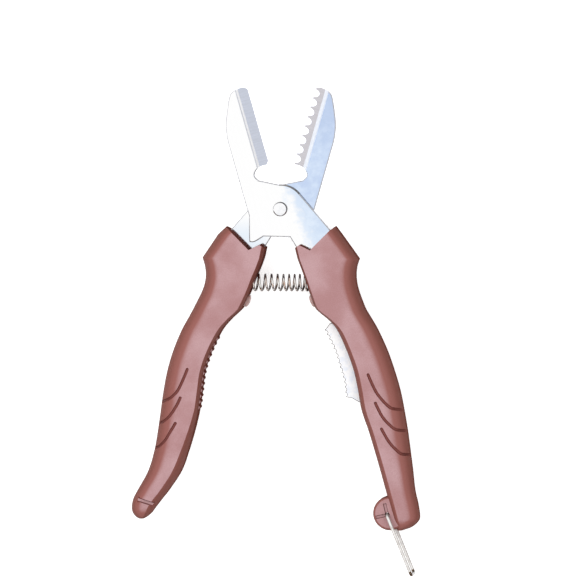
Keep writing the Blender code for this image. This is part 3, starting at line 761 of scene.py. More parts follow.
@dataclass(frozen=True)
class PlatedSteel:
    """Bright plated steel of the spring, the bail and the pivot, with painted shade on its sides."""

    name: str
    tone: Colour
    worn: Colour
    # Tone of the painted shade on the sides that turn away from the front and back.
    side: Colour
    side_lean: Span = (0.35, 0.92)
    roughness: Span = (0.12, 0.20)
    patch: float = 0.0025
    patch_band: Span = (0.4, 0.68)
    grain: float = 0.0003125
    grain_bump: Span = (0.000002, 0.2)
    metallic: float = 1.0

    def build(self) -> Material:
        """Make the material.

        Returns:
            The material.
        """
        board = Board(self.name)
        patches = board.noise(self.patch, detail=4)
        base = board.mix(board.span(patches, band=self.patch_band), self.tone, self.worn)
        # Painted shade on the sides that turn away from the front and back.
        base = board.mix(board.span(board.lean(), band=self.side_lean), self.side, base)
        rough = board.span(patches, self.roughness)
        normal = board.bump(board.noise(self.grain, detail=2), *self.grain_bump)
        board.feed(Base_Color=base, Roughness=rough, Normal=normal)
        board.set(Metallic=self.metallic)
        return board.material


@dataclass(frozen=True)
class BumperRubber:
    """Pale pinkish soft plastic of the bumpers."""

    tone: Colour = linear(208, 176, 172)
    shade: Colour = linear(178, 138, 132)
    patch: float = 0.0016
    grain: float = 0.0003
    grain_bump: Span = (0.00003, 0.4)
    roughness: Span = (0.32, 0.45)
    glow: float = 0.25
    glow_depths: Colour = (0.002, 0.001, 0.0008)

    def build(self) -> Material:
        """Make the material.

        Returns:
            The material.
        """
        board = Board("bumper_rubber")
        patches = board.noise(self.patch, detail=3)
        base = board.mix(board.span(patches), self.shade, self.tone)
        normal = board.bump(board.noise(self.grain, detail=2), *self.grain_bump)
        board.feed(Base_Color=base, Roughness=board.span(patches, self.roughness), Normal=normal)
        board.set(Subsurface_Weight=self.glow, Subsurface_Radius=self.glow_depths)
        return board.material


@dataclass
class Finishes:
    """Every material of the tool."""

    plastic: Material
    # Painted shade of the grooves and the bore.
    groove: Material
    plate: dict[Side, Material]
    ground: dict[Side, Material]
    shoulder: dict[Side, Material]
    crease: dict[Side, Material]
    edge: Material
    rim: Material
    side_blade: Material
    spring: Material
    bail: Material
    bail_tip: Material
    fastener: Material
    rubber: Material

    @staticmethod
    def satin(name: str, *tones: Colour, side_lean: Span = (0.35, 0.92)) -> Material:
        """Satin steel that mirrors little, in one tone or in three.

        Args:
            name: Name of the material.
            *tones: One tone for all, or the face's, the worn and the side's painted shade.
            side_lean: Leans between which the side's painted shade gives way.

        Returns:
            The material.
        """
        tones = tones * 3 if len(tones) == 1 else tones
        finish = PlatedSteel(name, *tones, side_lean=side_lean, roughness=(0.5, 0.6), metallic=0.25)
        return finish.build()

    @classmethod
    def bands(cls, name: str, tones: dict[Side, Colour]) -> dict[Side, Material]:
        """Finish of a narrow band on each plate."""
        return {side: cls.satin(f"{side.name.lower()}_{name}", tone) for side, tone in tones.items()}

    @classmethod
    def make(cls) -> "Finishes":
        """Build them all.

        Returns:
            All the materials.
        """
        # Dark tones that paint the shade in the grooves, along their side lines and in the latch
        # disc's bore.
        groove_shade_tones = ((84, 44, 38), (112, 60, 54), (120, 68, 62), (126, 74, 69), (134, 82, 78))
        cutting = BladeSteel(
            "cutting_steel", reflected_blue=linear(212, 227, 247), bright=linear(226, 238, 253),
            shade=linear(254, 254, 255), painted_blue=(0.0030, 0.0100),
        )
        plain_ground = GroundSteel("plain_ground", linear(208, 213, 226), JAW_ANGLE)
        toothed_ground = GroundSteel("toothed_ground", linear(216, 213, 218), -JAW_ANGLE)
        # Painted highlight on the shoulders and a painted dark line on the creases, in tones for
        # each plate.
        shoulder_highlights = {Side.RIGHT: linear(253, 253, 254), Side.LEFT: linear(236, 240, 248)}
        crease_shades = {Side.RIGHT: linear(214, 216, 222), Side.LEFT: linear(222, 230, 244)}
        return cls(
            plastic=MouldedPlastic().build(),
            groove=MouldedPlastic(
                "groove_shade_plastic", *(linear(*tone) for tone in groove_shade_tones)
            ).build(),
            plate={Side.RIGHT: cutting.build(), Side.LEFT: BladeSteel("toothed_steel").build()},
            ground={Side.RIGHT: plain_ground.build(), Side.LEFT: toothed_ground.build()},
            shoulder=cls.bands("shoulder", shoulder_highlights),
            crease=cls.bands("crease", crease_shades),
            # Dark stamped walls, partly painted shadow at the hub's edge and the side blade's
            # outline.
            edge=StampedSteel().build(),
            rim=StampedSteel("stamped_rim", linear(202, 202, 206), linear(186, 186, 190)).build(),
            # The last tone of each steel below is the painted shade on its sides.
            side_blade=cls.satin(
                "side_steel", linear(254, 254, 255), linear(240, 245, 254), linear(150, 152, 158),
                side_lean=(0.90, 0.99),
            ),
            spring=PlatedSteel(
                "spring_wire", linear(252, 250, 246), linear(206, 172, 150), linear(58, 46, 40),
            ).build(),
            bail=PlatedSteel(
                "bail_wire", linear(234, 231, 229), linear(210, 205, 201), linear(150, 142, 137),
                side_lean=(0.35, 0.98), roughness=(0.4, 0.5), metallic=0.4,
            ).build(),
            # Dark brown painted shade of the bail's far end.
            bail_tip=PlatedSteel(
                "bail_tip", linear(128, 108, 88), linear(84, 64, 48), linear(52, 40, 32),
            ).build(),
            fastener=PlatedSteel(
                "fastener_steel", linear(253, 253, 254), linear(242, 243, 246),
                linear(116, 114, 116), side_lean=(0.45, 0.99),
            ).build(),
            rubber=BumperRubber().build(),
        )


def dress(obj: Object, node: str, slot: str, body: Body | None, *materials: Material) -> Object:
    """Give a finished piece its shading, material and body, and hide the node that it stands for.

    Args:
        obj: The piece, drawn about the pivot.
        node: Node of the frame that it replaces.
        slot: Material slot of the record; not used.
        body: Body that it moves with, if it moves with one only.
        materials: Materials, the first of which covers the faces that no other one does.

    Returns:
        The piece.
    """
    if not obj.data.materials:
        for material in materials:
            obj.data.materials.append(material)
    obj.data.transform(Matrix.Translation(PIVOT))
    obj.data.shade_smooth()
    obj.data.set_sharp_from_angle(angle=SMOOTH_ANGLE)
    if body is not None:
        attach(obj, body.value)
    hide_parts(node)
    LOG.info("%s stands for %s with %d faces", obj.name, node, len(obj.data.polygons))
    return obj


@dataclass
class JawPlate:
    """One of the two crossed plates: jaw, hub and tang, stamped from one blank."""

    finishes: Finishes
    side: Side
    hub_radius: float = 0.0102
    jaw_reach: float = 0.0535
    jaw_width: float = 0.0136
    hub_top: float = radians(93)
    hub_tangent: float = radians(60)
    hub_steps: int = 48
    edge_thick: float = 0.0006
    grind_thick: float = 0.0012
    plain_proud: float = 0.0004
    grind_start_share: float = 1.5
    tooth_pitch: float = 0.0041
    tooth_depth: float = 0.0022
    tooth_land: float = 0.0008
    first_tooth_share: float = 1.902
    tooth_count: int = 9
    gullet_steps: int = 14
    # Share of the hub's radius within which steep faces take the dark finish, as painted shadow at
    # the hub's edge.
    dark_share: float = 1.06
    heel_share: float = 2.04
    plain_end_share: float = 0.974
    tang_depth: float = 0.0435
    key_radius: float = 0.0024
    bore: float = 0.00235
    rim: float = 0.00036
    line_width: float = 0.00045
    line_drop: float = 0.0004
    curve_steps: int = 5
    lobe_steps: int = 4
    facets: int = 64
    key_facets: int = 40

    GRIND_WIDTHS = {Side.RIGHT: 0.0036, Side.LEFT: 0.0041}
    SHOULDER_WIDTHS = {Side.RIGHT: 0.0007, Side.LEFT: 0.0013}
    BACK_SHARES = (
        (0.00, 0.983), (0.09, 0.9965), (0.21, 0.9995), (0.445, 0.987), (0.59, 0.948), (0.78, 0.843),
        (0.905, 0.763), (0.97, 0.690), (1.00, 0.620), (1.00, 0.080),
    )
    THROAT_SHARES = (
        (-0.90, 1.17), (-1.05, 1.32), (-1.06, 1.47), (-0.95, 1.65), (-0.80, 1.76), (-0.58, 1.82),
    )
    LOBE_SHARES = (
        (-1.29, -0.27), (-1.285, -1.27), (-1.23, -1.36),
        (-1.13, -1.37), (-1.00, -1.32), (-0.70, -1.13),
    )
    FOOT_SHARES = ((0.40, -1.15), (0.676, -1.598))
    TANG_SHARES = (
        (0.221, -0.425), (0.368, -0.575), (0.375, -0.758), (0.448, -0.885), (0.510, -0.985),
        (0.560, -1.000), (0.700, -1.000), (0.735, -0.970), (0.690, -0.850), (0.644, -0.690),
        (0.632, -0.460), (0.543, -0.283), (0.467, -0.182),
    )
    KEY_SHARES = (0.529, -0.747)

    @property
    def name(self) -> str:
        """Name of the frame's node that this plate stands for."""
        return "cutting_plate" if self.side is Side.RIGHT else "toothed_plate"

    @property
    def grind_width(self) -> float:
        """Width of the ground strip."""
        return self.GRIND_WIDTHS[self.side]

    @property
    def shoulder_width(self) -> float:
        """Width of the shoulder behind the strip."""
        return self.SHOULDER_WIDTHS[self.side]

    @property
    def low(self) -> float:
        """Height of the plate's rear face over the pivot's middle."""
        return PLATE_GAP / 2 if self.side is Side.RIGHT else -PLATE_GAP / 2 - PLATE_THICK

    def edge(self) -> list[Flat]:
        """Working edge from heel to tip, in the jaw's own frame.

        Returns:
            Points of the edge.
        """
        if self.side is Side.RIGHT:
            ends = self.hub_radius * self.heel_share, self.jaw_reach * self.plain_end_share
            return [(self.plain_proud, end) for end in ends]
        points = []
        half = (self.tooth_pitch - self.tooth_land) / 2
        for tooth in range(self.tooth_count):
            tip = self.hub_radius * self.first_tooth_share + tooth * self.tooth_pitch
            points.append((0, tip))
            if tooth < self.tooth_count - 1:
                for i in range(self.gullet_steps):
                    angle = pi * i / self.gullet_steps
                    along = tip + self.tooth_land + half * (1 - cos(angle))
                    points.append((-self.tooth_depth * sin(angle), along))
        return points

    def on_ground(self, point: Flat) -> bool:
        """Whether a point of the outline lies on the ground edge, where the corners stay sharp."""
        x, y = turned(point, -JAW_ANGLE)
        return x > -self.tooth_depth - WELD and y > self.hub_radius * self.grind_start_share

    def body(self) -> Shape:
        """Solid between the two faces, with broken corners.

        Returns:
            The solid.
        """
        outline = self.outline()
        inner = grown(outline, [0.0 if self.on_ground(point) else -self.rim for point in outline])
        levels = (
            (inner, 0), (outline, self.rim),
            (outline, PLATE_THICK - self.rim), (inner, PLATE_THICK),
        )
        return Shape().loft([[Vector((x, y, self.low + z)) for x, y in ring] for ring, z in levels])

    def leave_angle(self) -> float:
        """Angle at which the hub's arc leaves for the tang."""
        return atan2(self.TANG_SHARES[-1][1], self.TANG_SHARES[-1][0]) + self.hub_tangent

    def tang(self) -> list[Flat]:
        """Outline of the tang, anticlockwise from the foot."""
        return scaled(self.TANG_SHARES, self.tang_depth)

    def outline(self) -> list[Flat]:
        """Outline with the jaw on the left and the tang down to the right.

        Returns:
            Points of the outline, anticlockwise.
        """
        back = [(-x, y) for x, y in scaled(self.BACK_SHARES, self.jaw_width, self.jaw_reach)]
        back = smooth(back[:-1], self.curve_steps) + back[-1:]
        jaw = [turned(point, JAW_ANGLE) for point in self.edge() + back]
        lobe = smooth(scaled(self.LOBE_SHARES, self.hub_radius), self.lobe_steps)
        foot = scaled(self.FOOT_SHARES, self.hub_radius)
        leave = self.leave_angle()
        step = (self.hub_top - leave) / self.hub_steps
        hub = [turned((self.hub_radius, 0), leave + step * i) for i in range(self.hub_steps + 1)]
        throat = smooth(scaled(self.THROAT_SHARES, self.hub_radius), self.curve_steps)
        return jaw + lobe + foot + self.tang() + hub + throat

    def wedge(self) -> Object:
        """Solid that grinds the edge with a long flat, a steep shoulder and a crease.

        Returns:
            The cutter.
        """
        foot = -self.grind_width - self.shoulder_width
        slope = (self.grind_thick - self.edge_thick) / self.grind_width
        profile = [
            (OVERRUN, self.edge_thick - OVERRUN * slope), (-self.grind_width, self.grind_thick),
            (foot, PLATE_THICK - self.line_drop), (foot - self.line_width, PLATE_THICK),
            (foot - self.line_width, PLATE_THICK + OVERRUN), (OVERRUN, PLATE_THICK + OVERRUN),
        ]
        start, end = self.hub_radius * self.grind_start_share, self.jaw_reach + OVERRUN
        rings = [[Vector((x, y, self.low + z)) for x, z in profile] for y in (start, end)]
        shape = Shape().loft(rings).moved(Matrix.Rotation(JAW_ANGLE, 4, "Z"))
        return self.flip(shape).to_object("grind")

    def flip(self, shape: Shape) -> Shape:
        """Mirror a shape for the plate whose jaw is on the right.

        Args:
            shape: Shape drawn for the plate whose jaw is on the left.

        Returns:
            The same shape.
        """
        if self.side is Side.LEFT:
            shape.moved(Matrix.Scale(-1, 4, (1, 0, 0)))
        return shape

    def mark_faces(self, obj: Object) -> None:
        """Give every area its material, by how each face leans.

        Args:
            obj: The carved plate.
        """
        leans = {
            PlateArea.GROUND: atan2(self.grind_thick - self.edge_thick, self.grind_width),
            PlateArea.SHOULDER: atan2(
                PLATE_THICK - self.line_drop - self.grind_thick, self.shoulder_width
            ),
            PlateArea.CREASE: atan2(self.line_drop, self.line_width),
        }
        across = Vector((cos(JAW_ANGLE) * self.side.value, sin(JAW_ANGLE), 0))
        for polygon in obj.data.polygons:
            if abs(polygon.normal.z) < cos(RIM_LEAN):
                # Steep faces near the hub take the dark finish as painted shadow; the rest take the
                # pale rim.
                near = polygon.center.xy.length < self.hub_radius * self.dark_share
                polygon.material_index = PlateArea.HUB_EDGE_SHADOW if near else PlateArea.RIM
            for area, lean in leans.items():
                way = across * sin(lean) + Vector((0, 0, cos(lean)))
                if (polygon.normal.dot(way) > cos(FACE_TOLERANCE)
                        and polygon.center.y > self.hub_radius):
                    polygon.material_index = area

    def build(self) -> Object:
        """Make the plate.

        Returns:
            The plate.
        """
        obj = self.flip(self.body()).to_object(self.name + "_dressed")
        looks = self.finishes
        areas = (looks.plate, looks.ground, looks.shoulder, looks.crease)
        for material in (*(finish[self.side] for finish in areas), looks.edge, looks.rim):
            obj.data.materials.append(material)
        low, high = self.low - OVERRUN, self.low + PLATE_THICK + OVERRUN
        key_hole = Shape().rod(self.key_radius + SEAT_GAP, low, high, self.key_facets)
        bore = Shape().rod(self.bore, low, high, self.facets)
        cuts = [
            bore.to_object("bore"), key_hole.moved(self.key()).to_object("key_hole"), self.wedge(),
        ]
        carve(obj, cuts)
        self.mark_faces(obj)
        return dress(obj, self.name, "plate_steel", LEVER[self.side])

    def slot_cutter(self) -> Object:
        """Solid for the slot that the tang fills in its grip, less the key through the tang's hole.

        Returns:
            The cutter.
        """
        foot = scaled(self.FOOT_SHARES, self.hub_radius)
        loop = grown(
            [turned((self.hub_radius, 0), self.leave_angle()), *foot, *self.tang()], SEAT_GAP
        )
        low, high = self.low - SEAT_GAP, self.low + PLATE_THICK + SEAT_GAP
        if self.side is Side.LEFT:
            loop = mirrored(loop)
        slot = Shape().prism(loop, low, high).to_object("tang_slot")
        key = Shape().rod(self.key_radius, low - OVERRUN, high + OVERRUN, self.key_facets)
        return carve(slot, [key.moved(self.key()).to_object("key")])

    def key(self) -> Matrix:
        """Place of the key through the tang's hole."""
        x, y = scaled([self.KEY_SHARES], self.tang_depth)[0]
        return Matrix.Translation((x * self.side.value, y, 0))


@dataclass(frozen=True)
class Row:
    """One section of a grip: distance down, outer edge, inner edge and half thickness."""

    down: float
    outer: float
    inner: float
    half: float

    @property
    def width(self) -> float:
        """Width from edge to edge."""
        return self.outer - self.inner


@dataclass
class GripForm:
    """Skin of one grip, on which the pieces set into it are placed."""

    side: Side
    spread: float = 0.0630
    half_thick: float = 0.0080
    row_steps: int = 6
    section_steps: int = 12
    corner_steps: int = 5
    tail_most: float = 0.0034
    tail_start: float = 0.084
    tail_rise: float = 0.026
    neck_round: float = 0.0076
    hand_round: float = 0.0102
    round_start: float = 0.0190
    round_rise: float = 0.0380
    fullness: float = 0.90
    chamfer_fullness: float = 1.6
    inner_start: float = 0.040
    inner_rise: float = 0.012
    inner_flat_share: float = 0.64
    tail_flat_share: float = 0.34
    outer_most_share: float = 0.65
    inner_most_share: float = 0.30

    CORNER_ROW = 2
    ENDS = {Side.LEFT: 0.1307, Side.RIGHT: 0.1349}
    INNER_ROUNDS = {Side.LEFT: (0.0014, 0.0014), Side.RIGHT: (0.0012, 0.0021)}
    ROWS = {
        Side.LEFT: (
            (0.055, 0.359, 0.062, 1.00), (0.082, 0.419, 0.080, 1.00), (0.157, 0.524, 0.112, 1.00),
            (0.189, 0.506, 0.137, 1.00), (0.223, 0.503, 0.167, 1.00), (0.262, 0.524, 0.198, 1.00),
            (0.312, 0.575, 0.246, 1.00), (0.328, 0.592, 0.270, 1.00), (0.356, 0.624, 0.332, 1.00),
            (0.392, 0.665, 0.394, 1.00), (0.457, 0.721, 0.463, 1.00), (0.521, 0.760, 0.509, 1.00),
            (0.586, 0.786, 0.529, 1.00), (0.651, 0.805, 0.548, 1.00), (0.715, 0.824, 0.578, 0.99),
            (0.780, 0.848, 0.617, 0.95), (0.845, 0.889, 0.665, 0.88), (0.905, 0.957, 0.745, 0.80),
            (0.932, 0.987, 0.789, 0.76), (0.954, 0.999, 0.824, 0.71), (0.968, 1.000, 0.846, 0.67),
            (0.979, 0.995, 0.862, 0.61), (0.988, 0.984, 0.881, 0.53), (0.994, 0.972, 0.897, 0.46),
            (0.997, 0.964, 0.907, 0.39), (1.000, 0.952, 0.918, 0.31),
        ),
        Side.RIGHT: (
            (0.053, 0.372, 0.062, 1.00), (0.078, 0.412, 0.080, 1.00), (0.154, 0.529, 0.119, 1.00),
            (0.181, 0.511, 0.141, 1.00), (0.215, 0.508, 0.168, 1.00), (0.252, 0.523, 0.194, 1.00),
            (0.300, 0.561, 0.231, 1.00), (0.316, 0.577, 0.255, 1.00), (0.346, 0.616, 0.332, 1.00),
            (0.377, 0.654, 0.387, 1.00), (0.439, 0.715, 0.448, 1.00), (0.501, 0.762, 0.495, 1.00),
            (0.563, 0.801, 0.524, 1.00), (0.625, 0.828, 0.548, 1.00), (0.688, 0.851, 0.594, 0.99),
            (0.750, 0.869, 0.634, 0.95), (0.812, 0.886, 0.672, 0.88), (0.874, 0.901, 0.708, 0.80),
            (0.918, 0.922, 0.734, 0.78), (0.958, 0.9329, 0.756, 0.74), (0.975, 0.916, 0.766, 0.68),
            (0.990, 0.877, 0.775, 0.56), (1.000, 0.817, 0.783, 0.40),
        ),
    }

    def __post_init__(self) -> None:
        """Work out every row, smooth from the collar's corner down and straight above it."""
        sizes = (self.ENDS[self.side], self.spread, self.spread, self.half_thick)
        rows = [tuple(s * v for s, v in zip(sizes, row)) for row in self.ROWS[self.side]]
        rows = rows[: self.CORNER_ROW] + smooth(rows[self.CORNER_ROW :], self.row_steps)
        self.rows = [Row(d, o, i, min(h, self.half_thick)) for d, o, i, h in rows]

    def row_at(self, down: float) -> Row:
        """Row at any distance down from the pivot.

        Args:
            down: Distance down from the pivot.

        Returns:
            The row.
        """
        for upper, lower in zip(self.rows, self.rows[1:]):
            if upper.down <= down <= lower.down:
                t = (down - upper.down) / (lower.down - upper.down)
                ends = zip(
                    (upper.outer, upper.inner, upper.half), (lower.outer, lower.inner, lower.half)
                )
                return Row(down, *(between(*pair, t) for pair in ends))
        return self.rows[-1]

    def section(self, row: Row) -> list[Flat]:
        """Front half of a section, (out, height) from the middle of its outer side inwards.

        Args:
            row: Row that it is cut at.

        Returns:
            Points of the section.
        """
        growth = ramp(row.down, self.round_start, self.round_rise)
        outer = between(self.neck_round, self.hand_round, growth)
        outer = min(outer, row.width * self.outer_most_share)
        tail = ramp(row.down, self.tail_start, self.tail_rise) if self.side is Side.LEFT else 0
        inner = between(
            *self.INNER_ROUNDS[self.side], ramp(row.down, self.inner_start, self.inner_rise)
        )
        inner = min(between(inner, self.tail_most, tail), row.width * self.inner_most_share)
        points = [
            (
                row.outer - outer * (1 - abs(cos(a)) ** self.fullness),
                row.half * sin(a) ** self.fullness,
            )
            for a in quarter(self.section_steps)
        ]
        flat = between(self.inner_flat_share, self.tail_flat_share, tail)
        for angle in reversed(quarter(self.corner_steps)):
            rise = row.half * between(flat, 1, abs(sin(angle)) ** self.chamfer_fullness)
            points.append(
                (row.inner + inner * (1 - abs(cos(angle)) ** self.chamfer_fullness), rise)
            )
        return points

    def height(self, out: float, down: float) -> float:
        """Height of the front surface over a place on it.

        Args:
            out: Distance out from the pivot.
            down: Distance down from the pivot.

        Returns:
            The height.
        """
        section = self.section(self.row_at(down))
        for (out_a, high_a), (out_b, high_b) in zip(section, section[1:]):
            if out_b <= out <= out_a:
                return between(high_a, high_b, (out_a - out) / max(out_a - out_b, WELD))
        return section[0][1] if out > section[0][0] else section[-1][1]

    def skin(self) -> Shape:
        """Loft through the rows.

        Returns:
            The solid.
        """
        rings = []
        for row in self.rows:
            front = self.section(row)
            ring = front + [(out, -high) for out, high in reversed(front[1:])]
            rings.append([Vector((self.side.value * out, -row.down, high)) for out, high in ring])
        return Shape().loft(rings)

    def seat(self, down: float, lean: float = 0.0) -> Matrix:
        """Frame on the inner side whose Z points at the other grip.

        Args:
            down: Distance down from the pivot.
            lean: Turn of the frame in the tool's plane.

        Returns:
            The frame.
        """
        way = self.side.value
        place = Matrix.Translation((way * self.row_at(down).inner, -down, 0))
        return place @ Matrix.Rotation(way * lean, 4, "Z") @ Matrix.Rotation(-way * pi / 2, 4, "Y")


@dataclass
class ReturnSpring:
    """Coil spring between the grips' pockets."""

    finishes: Finishes
    grips: dict[Side, GripForm]
    radius: float = 0.0038
    wire: float = 0.0009
    turns: int = 10
    gather: float = 0.18
    points: int = 36
    facets: int = 20
    down: float = 0.0310
    pocket_depth: float = 0.0030
    pocket_gap: float = 0.0005
    pocket_facets: int = 56
    lead_share: float = 2.0

    def floor(self, side: Side) -> float:
        """How far out the spring's end is."""
        return side.value * (self.grips[side].row_at(self.down).inner + self.pocket_depth - SEAT_GAP)

    def pocket(self, side: Side) -> Shape:
        """Solid of the pocket in one grip.

        Args:
            side: Side of the grip.

        Returns:
            The solid.
        """
        radius = self.radius + self.pocket_gap
        shape = Shape().rod(radius, -self.pocket_depth, OVERRUN, self.pocket_facets)
        return shape.moved(self.grips[side].seat(self.down))

    def path(self) -> list[Vector]:
        """Centre line from the left pocket's floor to the right one's.

        Returns:
            Points of the line.
        """
        left, right = self.floor(Side.LEFT), self.floor(Side.RIGHT)
        radius = self.radius - self.wire / 2
        lead = self.wire * self.lead_share
        count = self.turns * self.points
        line = []
        for i in range(count + 1):
            angle = 2 * pi * i / self.points
            t = i / count
            x = left + lead + (right - left - 2 * lead) * t * (1 + self.gather * (1 - t))
            line.append(Vector((x, radius * cos(angle) - self.down, radius * sin(angle))))
        ends = [Vector((x, line[i].y, line[i].z)) for x, i in ((left, 0), (right, -1))]
        return [ends[0], *line, ends[1]]

    def build(self) -> Object:
        """Make the spring.

        Returns:
            The spring.
        """
        obj = Shape().tube(self.path(), self.wire / 2, self.facets).to_object("spring_coil")
        dress(obj, "return_spring", "wire_steel", None, self.finishes.spring)
        ends = [
            PIVOT + Vector((self.floor(side), -self.down, 0)) for side in (Side.RIGHT, Side.LEFT)
        ]
        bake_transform(obj)
        return obj


@dataclass
class Bumper:
    """Domed bumper in a round pocket on a grip's inner side."""

    finishes: Finishes
    grip: GripForm
    radius: float = 0.0027
    proud: float = 0.0016
    depth: float = 0.0020
    down: float = 0.0386
    tilt: float = radians(21)
    rim_share: float = 0.3
    rings: int = 14
    facets: int = 56

    @property
    def name(self) -> str:
        """Name of the frame's node."""
        return f"{self.grip.side.name.lower()}_bumper"

    def seat(self) -> Matrix:
        """Frame of the bumper on its grip."""
        return self.grip.seat(self.down, self.tilt)

    def pocket(self) -> Shape:
        """Solid of the bumper's pocket."""
        shape = Shape().rod(self.radius + SEAT_GAP, -self.depth - SEAT_GAP, OVERRUN, self.facets)
        return shape.moved(self.seat())

    def build(self) -> Object:
        """Make the dome.

        Returns:
            The dome.
        """
        rim = self.proud * self.rim_share
        profile = [(0, -self.depth), (self.radius, -self.depth)]
        for angle in quarter(self.rings):
            profile.append((self.radius * cos(angle), between(rim, self.proud, sin(angle))))
        shape = Shape().lathe(profile[:-1] + [(0, self.proud)], self.facets).moved(self.seat())
        obj = shape.to_object(self.name + "_dome")
        return dress(obj, self.name, "bumper_rubber", LEVER[self.grip.side], self.finishes.rubber)


@dataclass
class SideBlade:
    """Thin serrated blade in the right grip's inner side."""

    finishes: Finishes
    grip: GripForm
    thick: float = 0.0012
    top: float = 0.0479
    bottom: float = 0.0792
    root: float = 0.0050
    teeth: int = 14
    tooth_depth: float = 0.0009
    tooth_steps: int = 6
    key_radius: float = 0.0011
    key_facets: int = 24
    foot_sunk_share: float = 0.4
    root_gap: float = 0.00045
    rim: float = 0.00034
    rim_rounds: int = 1
    edge_steps: int = 40
    root_steps: int = 12
    tooth_fullness: float = 0.8

    EDGE_SHARES = (
        (0.232, -0.645), (0.282, -0.750), (0.309, -0.833), (0.332, -0.912), (0.343, -0.998),
    )
    TOP_SHARES = (0.262, -0.605)
    FOOT_SHARES = ((0.378, -1.003), (0.419, -1.026))
    KEY_SHARES = (0.30, 0.74)

    def root_line(self, gap: float) -> list[Flat]:
        """Line of the root inside the grip, bottom to top, moved inwards by a gap.

        Args:
            gap: How far it is moved.

        Returns:
            Points of the line.
        """
        steps = self.root_steps
        downs = [between(self.bottom, self.top, i / steps) for i in range(steps + 1)]
        return [(self.grip.row_at(down).inner + self.root + gap, -down) for down in downs]

    def toothed_edge(self) -> list[Flat]:
        """Scalloped edge, top to bottom.

        Returns:
            Points of the edge.
        """
        line = smooth(scaled(self.EDGE_SHARES, self.bottom), self.edge_steps)
        line = [Vector(point) for point in line]
        lengths = [0.0]
        for start, end in zip(line, line[1:]):
            lengths.append(lengths[-1] + (end - start).length)
        points = []
        count = self.teeth * self.tooth_steps
        for i in range(count + 1):
            wanted = lengths[-1] * i / count
            number = max(n for n, length in enumerate(lengths[:-1]) if length <= wanted)
            way = (line[number + 1] - line[number]).normalized()
            phase = (i % self.tooth_steps) / self.tooth_steps
            deep = self.tooth_depth * sin(pi * phase) ** self.tooth_fullness
            place = line[number] + way * (wanted - lengths[number]) + Vector((-way.y, way.x)) * deep
            points.append(tuple(place))
        return points

    def outline(self) -> list[Flat]:
        """Whole outline, anticlockwise."""
        foot, top = scaled(self.FOOT_SHARES, self.bottom), scaled([self.TOP_SHARES], self.bottom)
        return self.toothed_edge() + foot + self.root_line(0) + top

    def keys(self) -> list[Matrix]:
        """Places of the moulded keys through the root.

        Returns:
            Place of each key.
        """
        places = []
        for share in self.KEY_SHARES:
            down = between(self.top, self.bottom, share)
            places.append(
                Matrix.Translation((self.grip.row_at(down).inner + self.root / 2, -down, 0))
            )
        return places

    def key_rods(self, radius: float) -> Object:
        """Rods through the root's holes.

        Args:
            radius: Radius of the rods.

        Returns:
            The rods as one object.
        """
        rods = [Shape().rod(radius, -OVERRUN, OVERRUN, self.key_facets) for _ in self.KEY_SHARES]
        rods = [rod.moved(place) for rod, place in zip(rods, self.keys())]
        return Shape().join(*rods).to_object("side_keys")

    def slot_cutter(self) -> Object:
        """Solid of the slot in the grip, less the keys.

        Returns:
            The cutter.
        """
        half = self.thick / 2 + SEAT_GAP
        line = self.root_line(self.root_gap)
        line = [(x, y - 2 * SEAT_GAP if i == 0 else y) for i, (x, y) in enumerate(line)]
        line[-1] = (line[-1][0], -self.top + SEAT_GAP)
        foot = self.grip.row_at(self.bottom).inner
        low = line[0][1] - OVERRUN
        loop = [(foot - OVERRUN, low), (foot + self.root * self.foot_sunk_share, low), *line]
        loop.append((self.grip.row_at(self.top).inner - OVERRUN, -self.top + SEAT_GAP))
        slot = Shape().prism(loop, -half, half).to_object("side_slot")
        return carve(slot, [self.key_rods(self.key_radius)])

    def build(self) -> Object:
        """Make the blade.

        Returns:
            The blade.
        """
        shape = Shape().prism(self.outline(), -self.thick / 2, self.thick / 2)
        obj = shape.soften(self.rim, self.rim_rounds, sharp_rim).to_object("side_blade_steel")
        for material in (self.finishes.side_blade, self.finishes.edge):
            obj.data.materials.append(material)
        carve(obj, [self.key_rods(self.key_radius + SEAT_GAP)])
        # Steep faces take the dark finish, partly painted shade as the blade's outline.
        for polygon in obj.data.polygons:
            polygon.material_index = int(abs(polygon.normal.z) < cos(RIM_LEAN))
        return dress(obj, "side_blade", "side_steel", Body.RIGHT_LEVER)


@dataclass
class LatchBail:
    """U of round wire that turns in the latch disc."""

    finishes: Finishes
    wire: float = 0.0013
    length: float = 0.02719
    half_width: float = 0.0071
    bend: float = 0.0016
    bend_steps: int = 10
    toe: float = 0.0026
    angle: float = radians(-67.8)
    facets: int = 20
    tip: float = 0.0024

    def corner(self, out: float, start: float) -> list[Flat]:
        """Quarter turn of the wire, clockwise from an angle.

        Args:
            out: Distance of its centre along the bail.
            start: Angle that it starts from.

        Returns:
            Points of the turn.
        """
        turns = [start - angle for angle in quarter(self.bend_steps)]
        centre = self.half_width - self.bend
        return [(out + self.bend * cos(a), centre + self.bend * sin(a)) for a in turns]

    def build(self) -> Object:
        """Make the bail.

        Returns:
            The bail.
        """
        half = [
            (0, self.toe), *self.corner(self.bend, pi),
            *self.corner(self.length - self.bend, pi / 2),
        ]
        path = [Vector((x, 0, z)) for x, z in half + [(x, -z) for x, z in reversed(half)]]
        shape = Shape().tube(path, self.wire / 2, self.facets)
        # The wire's far end takes a dark brown finish as painted shade.
        for face in shape.bm.faces:
            face.material_index = int(face.calc_center_median().x > self.length - self.tip)
        place = LATCH_PLACE @ Matrix.Rotation(self.angle, 4, "Z")
        obj = shape.moved(place).to_object("bail_wire_loop")
        materials = (self.finishes.bail, self.finishes.bail_tip)
        return dress(obj, "latch_bail", "wire_steel", Body.BAIL, *materials)


